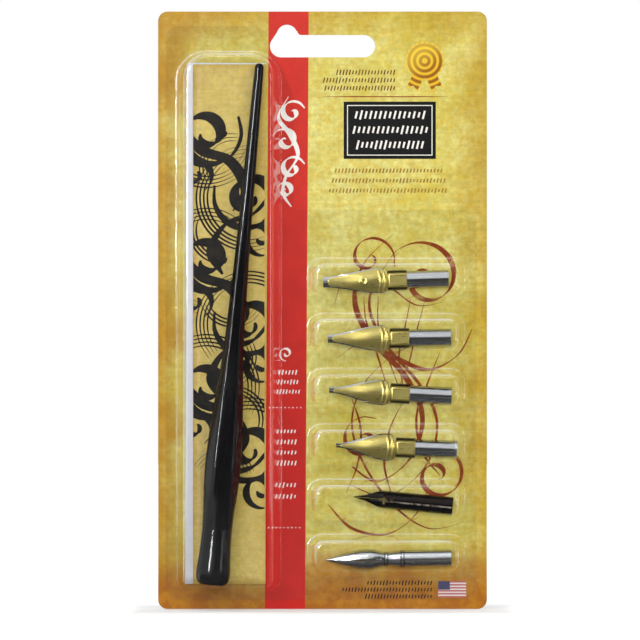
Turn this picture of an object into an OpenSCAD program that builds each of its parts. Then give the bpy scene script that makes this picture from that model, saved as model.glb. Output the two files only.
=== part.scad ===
// Carded calligraphy set: a printed card with a clear blister shell that holds a pen holder, six nibs and a leaflet.
// X is right, Z is up and -Y is the front. The origin is where the peg seats in the hang slot, on the card's back face.

/* [Backing card] */
// Width of the card
card_w = 112; // [105:1:130]
// Margin between the long pocket and the card's bottom edge
card_foot = 6.7; // [5:0.1:30]
// Thickness of the board
card_t = 0.6; // [0.3:0.1:1.5]
// Radius of the card's corners
card_corner_r = 3.2; // [1:0.1:8]

/* [Hang slot] */
// Width of the hang slot, end to end
slot_w = 35.8; // [30:0.1:40]
// Height of the hang slot
slot_h = 7.6; // [5:0.1:9]
// Distance from the card's top edge to the slot's top edge
slot_drop = 8; // [6:0.1:10]
// Radius of the raised notch where the peg seats
notch_r = 3.5; // [2:0.1:4.5]
// Distance from the slot's middle to the notch, to the left
notch_shift = 12.1; // [8:0.1:13]

/* [Blister shell] */
// Thickness of the clear sheet
sheet_t = 0.4; // [0.25:0.05:0.6]
// Thickness of the seal between the card and the sheet's flange
seal_t = 0.05; // [0.02:0.01:0.2]
// Margin between the card's left edge and the flange
flange_left = 2.6; // [1:0.1:5]
// Margin between the card's top edge and the flange
flange_top = 4.9; // [3:0.1:7]
// Margin between the card's right edge and the flange
flange_right = 3.6; // [1:0.1:6]
// Margin between the card's bottom edge and the flange
flange_bottom = 3.1; // [1:0.1:5]
// Radius of the flange's corners
flange_r = 4.5; // [1:0.1:8]
// Height of the flange above the first short pocket
flange_over = 16.7; // [6:0.1:25]

/* [Long pocket] */
// Distance from the card's left edge to the long pocket
long_left = 6.6; // [5:0.1:9]
// Distance from the card's top edge to the long pocket
long_drop = 13.8; // [12:0.1:16]
// Width of the long pocket at the card
long_w = 35.1; // [34:0.1:38]
// Spare height of the long pocket over the holder's length
long_spare = 5; // [4.5:0.1:8]
// Depth of the long pocket
long_d = 16.5; // [15.5:0.1:24]
// Radius of the long pocket's top corners
long_top_r = 9.5; // [6:0.1:10]
// Radius of the long pocket's bottom corners
long_foot_r = 4; // [3:0.1:5]
// Slope of the long pocket's side walls, from the card to the front
long_slope_x = 2.5; // [1:0.1:3]
// Slope of the long pocket's end walls, from the card to the front
long_slope_z = 1; // [0.5:0.1:1.5]

/* [Short pockets] */
// Distance from the card's left edge to the short pockets
short_left = 51.3; // [49:0.1:52]
// Distance from the card's bottom edge to the lowest short pocket
short_foot = 11.3; // [8:0.1:20]
// Distance from one short pocket to the next
short_pitch = 18.8; // [17:0.1:19.5]
// Width of a short pocket at the card
short_w = 52.8; // [52:0.1:56]
// Height of a short pocket at the card
short_h = 14; // [13.8:0.1:15]
// Depth of a short pocket
short_d = 9.5; // [6:0.1:14]
// Radius of a short pocket's corners
short_r = 4.5; // [2:0.1:5]
// Slope of a short pocket's end walls, from the card to the front
short_slope_x = 2; // [1:0.1:2.2]
// Slope of a short pocket's long walls, from the card to the front
short_slope_z = 1.6; // [0.8:0.1:1.8]

/* [Leaflet] */
// Width of the leaflet's printed front panel
leaflet_w = 24.7; // [20:0.1:25.5]
// How much shorter the leaflet is than the holder
leaflet_short = 0.6; // [0:0.1:40]
// How far the white fold shows past the front panel
leaflet_fold_w = 2.7; // [1:0.1:3]
// Thickness of the paper
paper_t = 0.15; // [0.1:0.01:0.2]
// Air between two folded panels
paper_gap = 0.3; // [0.2:0.01:0.4]
// Gap between the long pocket's left wall and the leaflet, at the card
leaflet_side_gap = 2.2; // [1.8:0.1:3]
// Gap between the long pocket's bottom wall and the leaflet
leaflet_foot_gap = 1.5; // [1.3:0.1:2]

/* [Pen holder] */
// Length of the holder
pen_l = 178; // [150:0.5:200]
// Radius at the holder's rounded tail
pen_tail_r = 1.55; // [1.2:0.05:2]
// Radius of the belly, over the ridges
pen_belly_r = 6.2; // [5.6:0.05:6.5]
// Radius of the flared foot
pen_foot_r = 5.8; // [5.4:0.05:6]
// Lean of the holder to the right, in degrees
pen_lean = 5.2; // [4.8:0.1:5.4]
// Distance from the long pocket's left wall to the holder's foot
pen_in = 11.9; // [11.4:0.1:12.4]
// Gap between the pocket's bottom wall and the holder's foot, at the card
pen_foot_gap = 1.4; // [1.2:0.1:2.5]
// Depth of the nib socket
socket_d = 16; // [12:0.5:20]

/* [Nibs] */
// Thickness of the nib steel
nib_t = 0.35; // [0.25:0.01:0.4]
// Outer radius of a nib's shank
shank_r = 3.05; // [2.9:0.01:3.1]
// Length of a broad nib's shank behind its band
shank_l = 14.2; // [12:0.1:15]
// Length of a broad nib's brass band
clamp_l = 6.5; // [4:0.1:7]
// Width of a broad nib's brass band plate
clamp_w = 5.1; // [4:0.1:5.5]
// Gap between the card and the nibs
nib_rest_gap = 0.3; // [0.2:0.05:0.5]
// Length of the pointed nib
pointed_l = 34.1; // [30:0.1:36]
// Length of the bowl nib
bowl_l = 42.6; // [40:0.1:44]
// Radius of the bowl
bowl_r = 3.55; // [3.2:0.05:3.8]

/* [Hidden] */

eps = 0.01;

// The four broad nibs, widest first
tip_w = [3.5, 2.7, 1.8, 1.4];
broad_l = [42.7, 41.9, 41.7, 41.2];
belly_w = [8.3, 8.8, 8.4, 9.2];

// Each nib in its pocket: gap from the pocket's right end to the shank's end, height above the pocket's middle, turn
nib_end_gap = [5.2, 4.4, 4.2, 2.4, 3.8, 4.3];
nib_rise = [0.2, -1.1, -2.2, -1.6, -2, -0.9];
nib_turn = [-1.7, -0.5, 2.9, 2.1, 5.5, -1];

// The pockets follow what they hold, and the card follows the pockets
long_h = pen_l + long_spare;
card_h = long_drop + long_h + card_foot;
short_n = 6;
short_drop = card_h - short_foot - short_h - (short_n - 1) * short_pitch;
leaflet_h = pen_l - leaflet_short;

card_left = notch_shift - card_w / 2;
card_top = slot_drop;

// Printed areas of the card, which only set its colours: a red band, turned a little, and a black plate
band_w = 13.7;
band_left = 37.6;
band_turn = 0.35;
plate_size = [31.4, 19.5];
plate_corner = [63.2, 30.7];
print_lap = 0.05;

sheet_back = -(card_t + seal_t);
nib_back = -(card_t + nib_rest_gap);
flange_beside = 4.4;
pocket_edge_r = 1.6;

// The steel of a broad nib is bent to this radius, about an axis behind the card side of its shank
blade_r = 6.5;
blade_axis = blade_r - 2.85;
feed_gap = 0.25;
clamp_fit = 0.03;
reservoir_r = blade_r + feed_gap + nib_t;
tongue_w = 3.6;
slit_w = 0.12;
slit_l = 12;
belly_in = 0.8;

// The brass parts of a broad nib: how far they stay behind and inside the blade's outline, ridges, button and band
reservoir_step = 1.5;
reservoir_in = 0.25;
ridge_w = 0.7;
ridge_h = 0.3;
ridge_sunk = 0.2;
ridge_lead = 0.4;
tongue_past = 0.4;
button_r = 1.25;
button_h = 0.25;
button_from_tip = 13.9;
underfeed_step = 3.2;
underfeed_w = 4.4;
underfeed_neck_w = 2.4;
underfeed_lap = 1;
underfeed_t = 0.47;
clamp_wall = 0.32;
clamp_plate_r = 6.4;
clamp_plate_h = 0.4;

// The pointed nib: its shoulder and its pierced cross
pointed_r = shank_r - 0.05;
shoulder_l = 9.6;
shoulder_in = 0.45;
point_l = 4.4;
point_r = 1.05;
pierce_l = 10.6;
pierce_r = 0.75;
pierce_w = 0.7;
pierce_arm = 1.6;
pierce_front = 1.7;
pierce_rear = 2.9;

// The bowl nib: its rings, each given by its distance from the tip and its radius, and its vent
ring_w = 0.7;
ring_1 = [20.5, 2.6];
ring_2 = [26, 3.15];
ring_bore_r = 2.2;
vent_from = 9.8;
vent_l = 4.6;
vent_w = 0.6;
neck_x = -(shank_l + clamp_l + 1.9);
collar_l = 1.7;
collar_over = 0.2;
ridge_x = neck_x - collar_over;
ridge_end = ridge_x + collar_l;
blade_end = ridge_end - collar_over;

clip_t = 0.3;
clip_r = shank_r - nib_t - 0.05;
socket_r = shank_r + 0.35;
prong_angle = 52;

leaflet_turn = 0.25;
leaflet_t = 4 * paper_t + 3 * paper_gap;
leaflet_back_gap = 0.1;
leaflet_front = -(card_t + leaflet_back_gap + leaflet_t);
pen_seat_gap = 0.3;
belly_s = 40;
belly_flat_r = pen_belly_r * 0.89;
pen_tip_back = atan((belly_flat_r - pen_tail_r) / (pen_l - 2 - belly_s));
pen_y = leaflet_front - pen_seat_gap - belly_flat_r - belly_s * sin(pen_tip_back);
pen_x = card_left + long_left + pen_in;
pen_z = card_top - long_drop - long_h + sheet_t + pen_foot_gap;

function short_middle_z(i) = card_top - short_drop - short_pitch * i - short_h / 2;
function smooth(u) = u * u * (3 - 2 * u);
function clamp01(u) = max(0, min(1, u));

module rounded_plate(w, h, t, r) {
    // Lower left corner at the origin, front face at -t
    translate([0, 0, 0]) rotate([90, 0, 0]) linear_extrude(t) union() {
        translate([r, 0]) square([w - 2 * r, h]);
        translate([0, r]) square([w, h - 2 * r]);
        for (x = [r, w - r], z = [r, h - r]) translate([x, z]) circle(r, $fn = 48);
    }
}

module rod(r, x0, x1) {
    translate([x0, 0, 0]) rotate([0, 90, 0]) cylinder(r = r, h = x1 - x0, $fn = 96);
}

module flat(x0, x1, w, y0, y1) {
    translate([x0, y0, -w / 2]) cube([x1 - x0, y1 - y0, w]);
}

module cut_along_y(points) {
    translate([0, 12, 0]) rotate([90, 0, 0]) linear_extrude(24) polygon(points);
}

// A sheet bent about an axis along X, its hollow side to the card
module bent_sheet(r, t, x0, x1) {
    difference() {
        translate([0, blade_axis, 0]) rod(r, x0, x1);
        translate([0, blade_axis, 0]) rod(r - t, x0 - 1, x1 + 1);
        translate([x0 - 1, 0, -2 * r]) cube([x1 - x0 + 2, 3 * r, 4 * r]);
    }
}

module half_pipe(r, t, x0, x1) {
    difference() {
        rod(r, x0, x1);
        rod(r - t, x0 - 1, x1 + 1);
        translate([x0 - 1, 0, -2 * r]) cube([x1 - x0 + 2, 2 * r, 4 * r]);
    }
}

// Half widths of a broad nib, eased from the tip to the belly and rounded in to the neck behind it
function broad_outline(l, w0, w1, x_end, w_end, start) =
    let (belly_x = ridge_x - belly_in, n = 16)
    let (front = [for (k = [0:n]) let (u = k / n) [-l + start + u * (l - start + belly_x), (w0 + (w1 - w0) * smooth(u)) / 2]])
    let (rear = [for (k = [1:6]) let (a = 15 * k) [belly_x + (x_end - belly_x) * sin(a), w_end / 2 + (w1 - w_end) / 2 * cos(a)]])
    let (upper = concat(front, rear))
    concat(upper, [for (k = [len(upper) - 1:-1:0]) [upper[k][0], -upper[k][1]]]);

module board() {
    difference() {
        translate([card_left, 0, card_top - card_h]) rounded_plate(card_w, card_h, card_t, card_corner_r);
        slot_hole();
    }
}

// The printed areas are drawn a little larger than their holes in the board, so that the board stays in one piece
module band_area(grow) {
    translate([card_left + band_left, -card_t - 1, card_top]) rotate([0, band_turn, 0])
        translate([-grow, 0, -card_h - 5]) cube([band_w + 2 * grow, card_t + 2, card_h + 10]);
}

module plate_area(grow) {
    translate([card_left + plate_corner[0] - grow, -card_t - 1, card_top - plate_corner[1] - plate_size[1] - grow])
        cube([plate_size[0] + 2 * grow, card_t + 2, plate_size[1] + 2 * grow]);
}

module backing_card() {
    color("goldenrod") difference() {
        board();
        band_area(0);
        plate_area(0);
    }
    color("firebrick") intersection() {
        board();
        band_area(print_lap);
    }
    color("black") intersection() {
        board();
        plate_area(print_lap);
    }
}

// The slot with its notch, eased into the slot's end on the left and into its top edge on the right
module slot_hole() {
    end = slot_w / 2 - slot_h / 2;
    left_end = notch_shift - end;
    fillet_r = 1.4;
    translate([0, 1, 0]) rotate([90, 0, 0]) linear_extrude(card_t + 2) union() {
        translate([left_end, -slot_h]) square([2 * end, slot_h]);
        for (x = [left_end, left_end + 2 * end]) translate([x, -slot_h / 2]) circle(slot_h / 2, $fn = 64);
        circle(notch_r, $fn = 64);
        polygon([[-notch_r * 0.95, notch_r * 0.3], [left_end - slot_h * 0.46, -slot_h * 0.3], [0, -slot_h / 2]]);
        difference() {
            translate([notch_r - 0.2, -0.2]) square(fillet_r + 0.2);
            translate([notch_r + fillet_r, fillet_r]) circle(fillet_r, $fn = 48);
        }
    }
}

// A pocket's solid form: card face at y = 0, front at -d, upper left corner at the origin
module pocket_form(w, h, d, slope_x, slope_z, r_top, r_foot, inset, back) {
    levels = [
        [back, 0, 0],
        [0, 0, 0],
        [d - inset - pocket_edge_r, 0.9, 0],
        [d - inset - pocket_edge_r * 0.45, 0.95, 0.3],
        [d - inset - pocket_edge_r * 0.12, 1, 0.85],
        [d - inset, 1, 1.6]
    ];
    hull() for (level = levels) {
        dx = inset + slope_x * level[1] + level[2];
        dz = inset + slope_z * level[1] + level[2];
        rt = max(1, r_top - inset - slope_x * level[1] * 0.6 - level[2] * 0.5);
        rf = max(1, r_foot - inset - slope_x * level[1] * 0.4 - level[2] * 0.5);
        translate([0, -level[0], 0]) rotate([90, 0, 0]) linear_extrude(eps) hull() {
            for (x = [dx + rt, w - dx - rt]) translate([x, -dz - rt]) circle(rt, $fn = 32);
            for (x = [dx + rf, w - dx - rf]) translate([x, -h + dz + rf]) circle(rf, $fn = 32);
        }
    }
}

module pockets(inset, back) {
    translate([card_left + long_left, sheet_back, card_top - long_drop])
        pocket_form(long_w, long_h, long_d, long_slope_x, long_slope_z, long_top_r, long_foot_r, inset, back);
    for (i = [0:short_n - 1]) translate([card_left + short_left, sheet_back, short_middle_z(i) + short_h / 2])
        pocket_form(short_w, short_h, short_d, short_slope_x, short_slope_z, short_r, short_r, inset, back);
}

// The flange passes between the hang slot and the long pocket's rounded corner, and keeps a margin round the pocket
module flange() {
    long_right = long_left + long_w;
    right_of_long = long_right + flange_beside;
    nib_top = short_drop - flange_over;
    translate([card_left, sheet_back, card_top]) rotate([90, 0, 0]) linear_extrude(sheet_t)
        offset(r = flange_r, $fn = 48) offset(delta = -flange_r) polygon([
            [flange_left, -flange_top],
            [long_right - flange_beside, -flange_top],
            [long_right - flange_beside, -long_drop + 0.2],
            [long_right - 2.1, -long_drop - 2.1],
            [long_right + 0.6, -long_drop - 5.6],
            [right_of_long, -long_drop - 15.2],
            [right_of_long, -nib_top],
            [card_w - flange_right, -nib_top],
            [card_w - flange_right, -card_h + flange_bottom],
            [flange_left, -card_h + flange_bottom]
        ]);
}

module blister_shell() {
    color([0.85, 0.9, 0.92, 0.3]) difference() {
        union() {
            flange();
            pockets(0, 0);
        }
        pockets(sheet_t, -1);
    }
}

// One folded sheet, drawn in plan: the front panel is free at its left edge, and the whole leans a little
module leaflet() {
    step = paper_t + paper_gap;
    fold_r = step / 2 + paper_t / 2;
    full_w = leaflet_w + leaflet_fold_w;
    left = card_left + long_left + sheet_t + leaflet_side_gap;
    foot = card_top - long_drop - long_h + sheet_t + leaflet_foot_gap;
    color("white") translate([left, -(card_t + leaflet_back_gap), foot]) rotate([0, leaflet_turn, 0])
        linear_extrude(leaflet_h) union() {
            for (k = [0:2]) translate([fold_r, -step * k - paper_t]) square([full_w - 2 * fold_r, paper_t]);
            fold(full_w - fold_r, -step / 2 - paper_t / 2, 1);
            fold(fold_r, -step * 1.5 - paper_t / 2, -1);
            fold(full_w - fold_r, -step * 2.5 - paper_t / 2, 1);
            translate([leaflet_fold_w, -step * 3 - paper_t]) square([leaflet_w - fold_r, paper_t]);
        }
}

module fold(x, y, side) {
    fold_r = paper_gap / 2 + paper_t;
    translate([x, y]) intersection() {
        difference() {
            circle(fold_r, $fn = 48);
            circle(paper_gap / 2, $fn = 48);
        }
        translate([side > 0 ? 0 : -fold_r, -fold_r]) square([fold_r, 2 * fold_r]);
    }
}

// Distance from the foot and radius over the ridges, along the holder, whose tail tapers over what the belly leaves
taper_s = 87.2;
function taper(share) = taper_s + (pen_l - taper_s) * share;
pen_profile = [
    [0, pen_foot_r - 2.2], [0.5, pen_foot_r - 1.1], [1.6, pen_foot_r - 0.35], [3.4, pen_foot_r],
    [6, pen_foot_r - 0.05], [10.3, pen_foot_r - 0.4], [15.4, pen_foot_r - 0.6], [23.3, pen_belly_r - 1.1],
    [28.5, pen_belly_r - 0.85], [33.5, pen_belly_r - 0.3], [40, pen_belly_r], [48.6, pen_belly_r - 0.3],
    [58.1, pen_belly_r - 0.85], [66.4, pen_belly_r - 1.55], [72, pen_belly_r - 2.1], [79, pen_belly_r - 2.65],
    [taper_s, pen_belly_r - 3.0], [taper(0.14), 2.85], [taper(0.27), 2.5], [taper(0.455), 2.2], [taper(0.68), 1.95],
    [pen_l - 8, pen_tail_r + 0.1], [pen_l - 1.6, pen_tail_r], [pen_l - 0.7, pen_tail_r - 0.2],
    [pen_l - 0.2, pen_tail_r - 0.6], [pen_l, pen_tail_r - 1.1]
];

// How strongly the holder shows its six flats: none at the foot and at the tail
function facet(s) = smooth(clamp01((s - 22) / 14)) * (1 - smooth(clamp01((s - 100) / 40)));
function ridge_r(s, a) =
    let (to_flat = ((a + 30) % 60) - 30, hexagon = min(1, cos(30) / cos(to_flat) * 1.03))
    1 - facet(s) * (1 - hexagon);

module holder_solid() {
    sides = 36;
    rings = len(pen_profile);
    points = [for (p = pen_profile, k = [0:sides - 1]) let (a = 360 * k / sides, r = p[1] * ridge_r(p[0], a))
        [r * sin(a), -r * cos(a), p[0]]];
    walls = [for (j = [0:rings - 2], k = [0:sides - 1]) let (m = (k + 1) % sides)
        each [
            [j * sides + k, (j + 1) * sides + k, (j + 1) * sides + m],
            [j * sides + k, (j + 1) * sides + m, j * sides + m]
        ]];
    foot = [for (k = [0:sides - 1]) k];
    tail = [for (k = [sides - 1:-1:0]) (rings - 1) * sides + k];
    polyhedron(points, concat([foot], walls, [tail]));
}

module in_holder() {
    translate([pen_x, pen_y, pen_z]) rotate([0, pen_lean, 0]) rotate([-pen_tip_back, 0, 0]) children();
}

module holder_body() {
    color([0.05, 0.05, 0.06]) in_holder() difference() {
        holder_solid();
        translate([0, 0, -1]) cylinder(r = socket_r, h = socket_d + 1, $fn = 96);
    }
}

// Universal clip: a plug pressed into the socket, with four prongs that the shank slides over
module nib_clip() {
    plug_l = 1.8;
    mouth = 0.8;
    color("silver") in_holder() union() {
        translate([0, 0, socket_d - plug_l]) cylinder(r = socket_r - clamp_fit, h = plug_l - clamp_fit, $fn = 96);
        for (a = [0:90:270]) rotate([0, 0, a + 45 - prong_angle / 2]) rotate_extrude(angle = prong_angle, $fn = 96)
            translate([clip_r - clip_t, mouth]) square([clip_t, socket_d - mouth - plug_l / 2]);
    }
}

module in_pocket(i) {
    end_x = card_left + short_left + short_w - nib_end_gap[i];
    translate([end_x, nib_back, short_middle_z(i) + nib_rise[i]]) rotate([0, nib_turn[i], 0]) children();
}

module slit(x0, x1) {
    flat(x0, x1, slit_w, -5, 1);
}

module broad_blade(i) {
    color("gainsboro") in_pocket(i) union() {
        half_pipe(shank_r, nib_t, neck_x, 0);
        difference() {
            intersection() {
                bent_sheet(blade_r, nib_t, -broad_l[i] - 1, 0);
                cut_along_y(broad_outline(broad_l[i], tip_w[i], belly_w[i], blade_end, 2 * shank_r - 0.2, 0));
            }
            slit(-broad_l[i] - 1, -broad_l[i] + slit_l);
        }
    }
}

module broad_reservoir(i) {
    l = broad_l[i];
    in = 2 * reservoir_in;
    outline = broad_outline(l, tip_w[i] - in, belly_w[i] - in, ridge_end, 2 * (shank_r + collar_over), reservoir_step);
    color("gold") in_pocket(i) union() {
        intersection() {
            bent_sheet(reservoir_r, nib_t, -l, ridge_end);
            cut_along_y(outline);
        }
        for (x = [ridge_x - ridge_lead, ridge_end - ridge_w - 0.1]) intersection() {
            bent_sheet(reservoir_r + ridge_h, ridge_h + ridge_sunk, x, x + ridge_w);
            cut_along_y(outline);
        }
        intersection() {
            bent_sheet(reservoir_r, nib_t, neck_x, -shank_l + tongue_past);
            flat(neck_x, -shank_l + tongue_past, tongue_w, -5, 0);
        }
        if (i == 0) reservoir_button(-l + button_from_tip);
    }
}

// Small raised button with a hollow top
module reservoir_button(x) {
    sunk = 0.15;
    rim = 0.3;
    translate([x, blade_axis - reservoir_r, 0]) rotate([90, 0, 0]) difference() {
        translate([0, 0, -sunk]) cylinder(r = button_r, h = button_h + sunk, $fn = 48);
        cylinder(r1 = button_r / 4, r2 = button_r, h = button_h + rim, $fn = 48);
    }
}

module broad_band(i) {
    x0 = -(shank_l + clamp_l);
    plate_y = blade_axis - reservoir_r - clamp_plate_h;
    color("gold") in_pocket(i) difference() {
        union() {
            difference() {
                rod(shank_r + clamp_wall, x0, -shank_l);
                flat(x0 - 1, -shank_l + 1, 8, 0, 6);
            }
            intersection() {
                translate([0, plate_y + clamp_plate_r, 0]) rod(clamp_plate_r, x0, -shank_l);
                flat(x0, -shank_l, clamp_w, -6, 0);
            }
        }
        rod(shank_r + clamp_fit, x0 - 1, -shank_l + 1);
        intersection() {
            translate([0, blade_axis, 0]) rod(reservoir_r + clamp_fit, x0 - 1, -shank_l + 1);
            flat(x0 - 1, -shank_l + 1, tongue_w + 2 * clamp_fit, -6, 0);
        }
    }
}

module broad_underfeed(i) {
    l = broad_l[i];
    r = blade_r - nib_t - 0.05;
    color("gold") in_pocket(i) union() {
        intersection() {
            bent_sheet(r, nib_t, -l, neck_x);
            cut_along_y(broad_outline(l, tip_w[i] / 2, underfeed_w, neck_x, underfeed_neck_w, underfeed_step));
        }
        intersection() {
            bent_sheet(r, nib_t, ridge_x - underfeed_lap, blade_end + underfeed_lap);
            flat(ridge_x - underfeed_lap, blade_end + underfeed_lap, underfeed_neck_w, -5, 0);
        }
        intersection() {
            half_pipe(shank_r - nib_t - clamp_fit, underfeed_t, blade_end + 0.1, -shank_l + underfeed_lap);
            flat(blade_end, -shank_l + underfeed_lap, tongue_w, -5, 0);
        }
    }
}

// Dark one-piece nib: a half pipe cut to a point, with a pierced cross and a slit
module pointed_nib() {
    shoulder_x = -pointed_l + shoulder_l;
    pierced_x = -pointed_l + pierce_l;
    upper = [
        [0, pointed_r + 1], [shoulder_x + 0.5, pointed_r + 1], [shoulder_x + 0.5, pointed_r],
        [shoulder_x - 1.2, pointed_r - shoulder_in], [-pointed_l + point_l, point_r], [-pointed_l, 0.1]
    ];
    lower = [for (k = [len(upper) - 1:-1:0]) [upper[k][0], -upper[k][1]]];
    color([0.2, 0.17, 0.15]) in_pocket(4) difference() {
        intersection() {
            half_pipe(pointed_r, nib_t, -pointed_l - 1, 0);
            cut_along_y(concat(upper, lower));
        }
        slit(-pointed_l - 1, pierced_x);
        translate([pierced_x, 0, 0]) rotate([90, 0, 0]) cylinder(r = pierce_r, h = 6, $fn = 48);
        flat(pierced_x - pierce_front, pierced_x + pierce_rear, pierce_w, -6, -1);
        flat(pierced_x - pierce_w / 2, pierced_x + pierce_w / 2, 2 * pierce_arm, -6, -1);
    }
}

// Distance from the tip and radius, along the bowl nib
bowl_profile = [
    [0, 0.15], [2.5, 1.05], [5.2, 1.95], [8.7, 2.85], [11.5, bowl_r - 0.15], [14.4, bowl_r], [16.2, bowl_r - 0.15],
    [17.8, bowl_r - 0.55], [19.3, bowl_r - 1.0], [20.5, bowl_r - 1.2], [22, bowl_r - 1.1], [23.8, bowl_r - 0.8],
    [25.2, shank_r - 0.1], [bowl_l, shank_r - 0.1]
];

module bowl_nib() {
    outer = [for (p = bowl_profile) [p[1], p[0]]];
    inner = [for (k = [len(bowl_profile) - 1:-1:0]) [max(0, bowl_profile[k][1] - nib_t), bowl_profile[k][0]]];
    vent_x = -bowl_l + vent_from;
    color("silver") in_pocket(5) difference() {
        union() {
            translate([-bowl_l, 0, 0]) rotate([0, 90, 0]) rotate([0, 0, 180])
                rotate_extrude(angle = 180, $fn = 96) polygon(concat(outer, inner));
            for (ring = [ring_1, ring_2]) let (x = -bowl_l + ring[0] - ring_w / 2)
                half_pipe(ring[1], ring[1] - ring_bore_r, x, x + ring_w);
        }
        slit(-bowl_l - 1, vent_x);
        flat(vent_x, vent_x + vent_l, vent_w, -6, -1);
    }
}

backing_card();
blister_shell();
leaflet();
holder_body();
nib_clip();
for (i = [0:3]) {
    broad_blade(i);
    broad_reservoir(i);
    broad_band(i);
    broad_underfeed(i);
}
pointed_nib();
bowl_nib();
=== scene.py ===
import math

import bmesh
import bpy
from bpy.props import FloatProperty, FloatVectorProperty, IntProperty, PointerProperty
from mathutils import Matrix, Vector
from mathutils.geometry import delaunay_2d_cdt


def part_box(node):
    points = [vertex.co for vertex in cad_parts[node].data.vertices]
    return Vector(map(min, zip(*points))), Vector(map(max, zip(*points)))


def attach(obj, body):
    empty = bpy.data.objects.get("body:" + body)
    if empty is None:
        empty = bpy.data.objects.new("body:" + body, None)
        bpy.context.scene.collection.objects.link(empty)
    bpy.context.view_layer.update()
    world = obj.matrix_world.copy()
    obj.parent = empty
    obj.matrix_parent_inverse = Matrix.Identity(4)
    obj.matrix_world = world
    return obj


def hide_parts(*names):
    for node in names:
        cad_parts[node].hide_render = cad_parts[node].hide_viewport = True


bl_info = {
    "name": "Carded calligraphy set",
    "version": (1, 0, 0),
    "blender": (4, 5, 0),
    "location": "3D View > Sidebar > Calligraphy set",
    "description": "Dresses a carded pen holder, its nibs, leaflet and clear shell",
    "category": "Object",
}

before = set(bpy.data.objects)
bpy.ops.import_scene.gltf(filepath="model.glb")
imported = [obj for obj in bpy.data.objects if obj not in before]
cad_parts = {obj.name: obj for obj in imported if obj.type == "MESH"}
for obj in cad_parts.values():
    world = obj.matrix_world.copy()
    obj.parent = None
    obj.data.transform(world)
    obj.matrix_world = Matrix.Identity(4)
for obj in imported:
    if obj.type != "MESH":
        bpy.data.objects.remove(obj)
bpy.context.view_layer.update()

MM = 0.001
CARD_LOW, CARD_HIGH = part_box("backing_card")
CARD_FRONT = CARD_LOW.y
CARD_MIDDLE = (CARD_LOW + CARD_HIGH) / 2
SHELL_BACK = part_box("blister_shell")[1].y
BROAD_NIBS = ("broad_nib_1", "broad_nib_2", "broad_nib_3", "broad_nib_4")
# Gap between a print and the sheet behind it, and the rise of each stroke over the one before
PRINT_GAP = 0.001 * MM
STROKE_LIFT = 0.0004 * MM


def on_card(across, down):
    """A place given in millimetres from the card's upper left corner, in the frame's metres."""
    return CARD_LOW.x + across * MM, CARD_HIGH.z - down * MM


def shade(red, green, blue):
    """A colour written as it looks on a screen, 0 to 255, as the light that a shader takes."""
    parts = []
    for value in (red, green, blue):
        share = value / 255
        parts.append(share / 12.92 if share <= 0.04045 else ((share + 0.055) / 1.055) ** 2.4)
    return tuple(parts)


def opaque(colour):
    """A colour with its fourth value, as a socket takes it."""
    return (*colour, 1.0)


def tint(red, green, blue):
    """A colour written as it looks on a screen, as a socket takes it."""
    return opaque(shade(red, green, blue))


def grey(level):
    """A neutral colour of a given light, as a socket takes it."""
    return (level, level, level, 1.0)


# Settings


# Short forms of the settings that repeat, for a length, a power, an angle and a colour
def length_setting(name, description, default):
    return FloatProperty(name=name, description=description, default=default, unit="LENGTH", precision=6)


def power_setting(name, description, default):
    return FloatProperty(name=name, description=description, default=default, unit="POWER")


def angle_setting(name, description, degrees):
    return FloatProperty(name=name, description=description, default=math.radians(degrees), subtype="ANGLE")


def colour_setting(name, description, default):
    return FloatVectorProperty(name=name, description=description, default=default, subtype="COLOR")


class StageSettings(bpy.types.PropertyGroup):
    camera_distance: length_setting("Camera distance", "From the lens to the card", 2.0)
    view_width: length_setting("View width", "Width of the picture at the card", 0.218)
    floor_size: length_setting("Floor size", "Side of the square floor", 4.0)
    key_power: power_setting("Key power", "Softbox above on the left", 3.4)
    strip_power: power_setting("Strip power", "Upright lamp that polished pieces mirror", 9.0)
    bar_power: power_setting("Bar power", "Level lamp above", 0.85)
    fill_power: power_setting("Fill power", "Softbox low on the right", 1.2)
    world_level: FloatProperty(name="World level", description="Light from all round", default=0.75)


class CardSettings(bpy.types.PropertyGroup):
    parchment_light: colour_setting("Light parchment", "Palest print of the card", shade(224, 216, 132))
    parchment_deep: colour_setting("Deep parchment", "Deeper mottling of the card", shade(206, 192, 86))
    edge_tone: colour_setting("Edge tone", "Ochre towards the card's sides", shade(182, 144, 22))
    foot_tone: colour_setting("Foot tone", "Brown towards the card's foot", shade(168, 96, 8))
    band_top: colour_setting("Band at the top", "Red of the band's upper end", shade(206, 46, 34))
    band_foot: colour_setting("Band at the foot", "Red of the band's lower end", shade(208, 34, 26))
    plate_tone: colour_setting("Plate", "Black of the title plate", shade(5, 5, 6))
    ink_brown: colour_setting("Brown ink", "Flourishes on the card", shade(134, 46, 4))
    ink_depth: length_setting("Ink depth", "Thickness of the printed ink", 0.02 * MM)


class LeafletSettings(bpy.types.PropertyGroup):
    panel_w: length_setting("Front panel", "Width of the cover", 24.7 * MM)
    fold_w: length_setting("White fold", "Fold seen past the cover", 2.7 * MM)
    paper_t: length_setting("Paper", "Thickness of the paper", 0.15 * MM)
    paper_gap: length_setting("Gap", "Air between two panels", 0.3 * MM)
    turn: angle_setting("Turn", "Lean of the leaflet", 0.25)
    ink_black: colour_setting("Black ink", "Ornament on the cover", shade(22, 19, 16))


class ShellSettings(bpy.types.PropertyGroup):
    sheet_t: length_setting("Sheet", "Thickness of the clear sheet", 0.4 * MM)
    foot_r: length_setting("Foot fillet", "Fillet at a pocket's foot", 0.7 * MM)
    edge_r: length_setting("Edge radius", "Round at a pocket's front", 1.6 * MM)
    gloss: FloatProperty(
        name="Roughness", description="Roughness of the clear sheet", default=0.07, min=0, max=1
    )


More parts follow.
